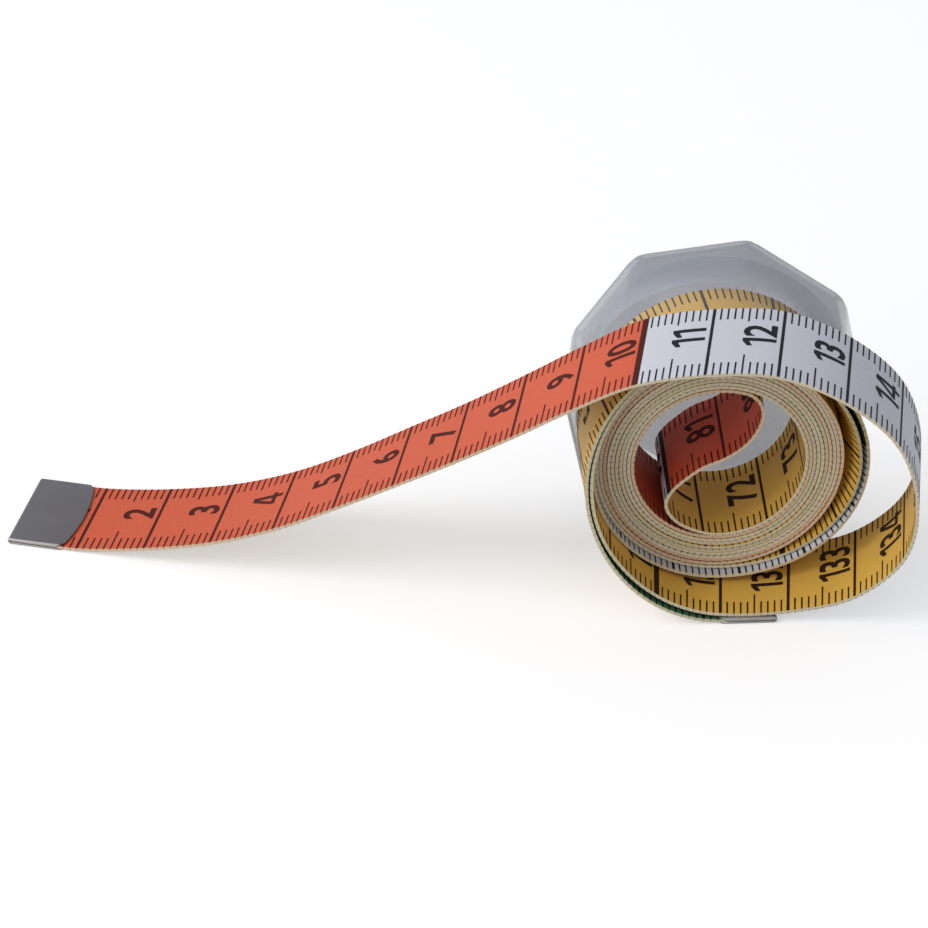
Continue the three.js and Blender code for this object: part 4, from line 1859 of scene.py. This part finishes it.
@dataclass(frozen=True)
class Lamp:
    """A soft square lamp that shines on the object."""

    name: str
    place: tuple[float, float, float]  # metres
    size: float
    watts: float
    aim: tuple[float, float, float] = (0.02, 0.0, 0.02)

    def build(self) -> None:
        """Hangs the lamp in its place."""
        bpy.ops.object.select_all(action="DESELECT")
        bpy.ops.object.light_add(type="AREA", location=self.place)
        lamp = bpy.context.object
        lamp.name = self.name
        lamp.data.size = self.size
        lamp.data.energy = self.watts
        way = Vector(self.aim) - Vector(self.place)
        lamp.rotation_euler = way.to_track_quat("-Z", "Y").to_euler()


@dataclass
class Studio:
    """Floor, lamps, backdrop and the camera at the photograph's angle."""

    lens: float = 203.97
    sensor: float = 36.0
    elevation: float = 33.38
    distance: float = 744.5
    aim: tuple[float, float, float] = (0.6015, -7.3129, 20.0)
    nearest: float = 0.05  # metres that the camera sees from, and to
    farthest: float = 20.0
    floor_size: float = 6.0
    floor_colour: Colour = (0.62, 0.62, 0.63, 1.0)
    floor_roughness: float = 0.9
    floor_glow: float = 0.5
    sky_colour: Colour = (0.97, 0.98, 1.0, 1.0)
    sky_light: float = 0.48  # how strongly the surroundings light things
    sky_seen: float = 1.0  # how bright they look
    lamps: tuple[Lamp, ...] = (
        Lamp("key_lamp", (-0.76, -0.15, 0.66), 0.6, 5.6),
        Lamp("fill_lamp", (-0.75, -0.8, 0.45), 0.8, 2.6),
    )

    def build(self) -> None:
        """Sets up the whole stage."""
        self._camera()
        self._floor()
        for lamp in self.lamps:
            lamp.build()
        self._world()
        bpy.context.scene.view_settings.view_transform = "Standard"

    def _camera(self) -> None:
        """Puts the camera where the photograph was taken from."""
        bpy.ops.object.select_all(action="DESELECT")
        down = math.radians(self.elevation)
        back = Vector((0, -math.cos(down), math.sin(down))) * self.distance
        bpy.ops.object.camera_add(
            location=(Vector(self.aim) + back) * MM,
            rotation=(math.pi / 2 - down, 0, 0),
        )
        camera = bpy.context.object
        camera.data.lens = self.lens
        camera.data.sensor_width = self.sensor
        camera.data.clip_start = self.nearest
        camera.data.clip_end = self.farthest
        camera.data.dof.use_dof = False
        bpy.context.scene.camera = camera

    def _floor(self) -> None:
        """Lays a pale floor that reads as white and keeps the object's shadow."""
        bpy.ops.object.select_all(action="DESELECT")
        bpy.ops.mesh.primitive_plane_add(size=self.floor_size, location=(0, 0, 0))
        floor = bpy.context.object
        floor.name = "floor"
        work = MaterialWork("floor_white")
        work.dress(self.floor_colour, self.floor_roughness, 0.0)
        work.shader.inputs["Emission Color"].default_value = (1.0, 1.0, 1.0, 1.0)
        glow = work.math("MULTIPLY", work.seen(), self.floor_glow)
        work.feed(work.shader.inputs["Emission Strength"], glow)
        floor.data.materials.append(work.material)

    def _world(self) -> None:
        """Fills the surroundings with even, pale light, which looks brighter than it shines."""
        world = bpy.data.worlds.new("studio")
        bpy.context.scene.world = world
        world.use_nodes = True
        work = NodeWork(world.node_tree)
        background = work.nodes["Background"]
        background.inputs["Color"].default_value = self.sky_colour
        level = work.add("ShaderNodeMapRange", Value=work.seen())
        level.inputs["To Min"].default_value = self.sky_light
        level.inputs["To Max"].default_value = self.sky_seen
        work.feed(background.inputs["Strength"], level.outputs["Result"])


@dataclass
class TapeMeasure:
    """The whole object: its tape in its stretches, the two metal tips and the case."""

    thickness: float = 0.47
    split: float = 14.0  # the free end's piece runs up to this reading
    bend_start: float = 12.6  # two readings on the free end, at which its middle points are found
    bend_end: float = 8.4

    def build(self) -> None:
        """Builds every piece, and lets the case, the tips and the coil's pieces ride on their bodies."""
        low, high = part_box("case")
        case = FrostedCase()
        middle = (low + high) / (2 * MM)
        yaw = math.radians(case.yaw)
        inward = Vector((math.sin(yaw), math.cos(yaw), 0)) * (case.depth / 2)
        mouth = middle - inward
        finishes = Finishes()
        route = TapeRoute(mouth)
        surface = TapeSurface(route, self.thickness)
        log.info("readings at the joins: %s", {k: round(v, 2) for k, v in route.marks.items()})
        digits = DigitShapes()
        digits.build()
        shell = case.build(mouth)
        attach(shell, "case")
        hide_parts("case")
        self._report(shell)
        zero_tip = FoldedTip("zero_end_leaf", "zero_end_tip", "free_end")
        # The far tip is lighter all over: painted light on its faces in the loop's shade.
        far_tip = FoldedTip("far_end_leaf", "far_end_tip", "coil", worn=True)
        zero_leaf = self._tip(zero_tip, surface, 0.0, finishes)
        far_leaf = self._tip(far_tip, surface, TAPE_READING, finishes)
        self._free_end(surface, digits, finishes)
        self._coil(surface, digits, finishes)

    def _tip(
        self, tip: FoldedTip, surface: TapeSurface, reading: float, finishes: Finishes
    ) -> bpy.types.Object:
        """Builds one metal tip and lets it ride on its body.

        Args:
            tip: the tip.
            surface: the tape's surface.
            reading: the reading at the tape's end.
            finishes: the object's finishes.

        Returns:
            The piece.
        """
        leaf = tip.build(surface, reading, finishes)
        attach(leaf, tip.body)
        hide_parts(tip.replaces)
        self._report(leaf)
        return leaf

    def _free_end(
        self, surface: TapeSurface, digits: DigitShapes, finishes: Finishes
    ) -> None:
        """Builds the free end with its print.

        Args:
            surface: the tape's surface.
            digits: the figures.
            finishes: the object's finishes.
        """
        strip = TapeStrip("tape_free_stretch", 0.0, self.split, "tape_free_end", "orange")
        piece = strip.build(surface, finishes)
        ink = TapePrint(surface, "print_free_stretch", 0.0, self.split).build(digits, finishes)
        middle = surface.route.width / 2
        start = surface.point(self.bend_start, middle, Face.FRONT, 0.0)
        end = surface.point(self.bend_end, middle, Face.FRONT, 0.0)
        for part in (piece, ink):
            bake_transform(part)
            self._report(part)
        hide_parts(strip.node)

    def _coil(
        self, surface: TapeSurface, digits: DigitShapes, finishes: Finishes
    ) -> None:
        """Builds the loop, the winding, the fold in the core and the far leg.

        Args:
            surface: the tape's surface.
            digits: the figures.
            finishes: the object's finishes.
        """
        for strip in self._strips(surface.route.marks):
            piece = strip.build(surface, finishes)
            name = strip.name.replace("tape", "print")
            figures = not strip.extra
            prints = [TapePrint(surface, name, strip.start, strip.end, figures)]
            prints += [TapePrint(surface, name + "_out", low, high, figures) for low, high in strip.extra]
            inks = [one.build(digits, finishes) for one in prints]
            for part in (piece, *inks):
                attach(part, "coil")
                self._report(part)
            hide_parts(strip.node)

    def _strips(self, at: dict[str, float]) -> tuple[TapeStrip, ...]:
        """The stretches of tape that the coil's body carries.

        Args:
            at: the readings at the joins.

        Returns:
            The stretches, in their order along the tape.
        """
        loop, core, fold_end, far = at["winding_in"], at["core"], at["winding_out"], at["far_leg"]
        front = TapeStrip(
            "tape_loop_stretch", self.split, loop, "tape_front_loop", "white", rests_on=("floor",)
        )
        wound = TapeStrip(
            "tape_wound_stretch", loop, core, "tape_winding", "winding", extra=((fold_end, far),)
        )
        return (
            front,
            wound,
            TapeStrip("tape_core_stretch", core, fold_end, "tape_core_fold", "yellow"),
            TapeStrip("tape_far_stretch", far, TAPE_READING, "tape_far_leg", "yellow"),
        )

    def _report(self, piece: bpy.types.Object) -> None:
        """Logs one finished piece."""
        log.info("%s: %d faces", piece.name, len(piece.data.polygons))


def main() -> None:
    """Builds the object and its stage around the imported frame."""
    logging.basicConfig(level=logging.INFO, format="%(name)s: %(message)s")
    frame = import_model()
    log.info("packed frame with %d nodes", len(frame["nodes"]))
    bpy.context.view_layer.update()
    Studio().build()
    TapeMeasure().build()


if __name__ == "__main__":
    main()
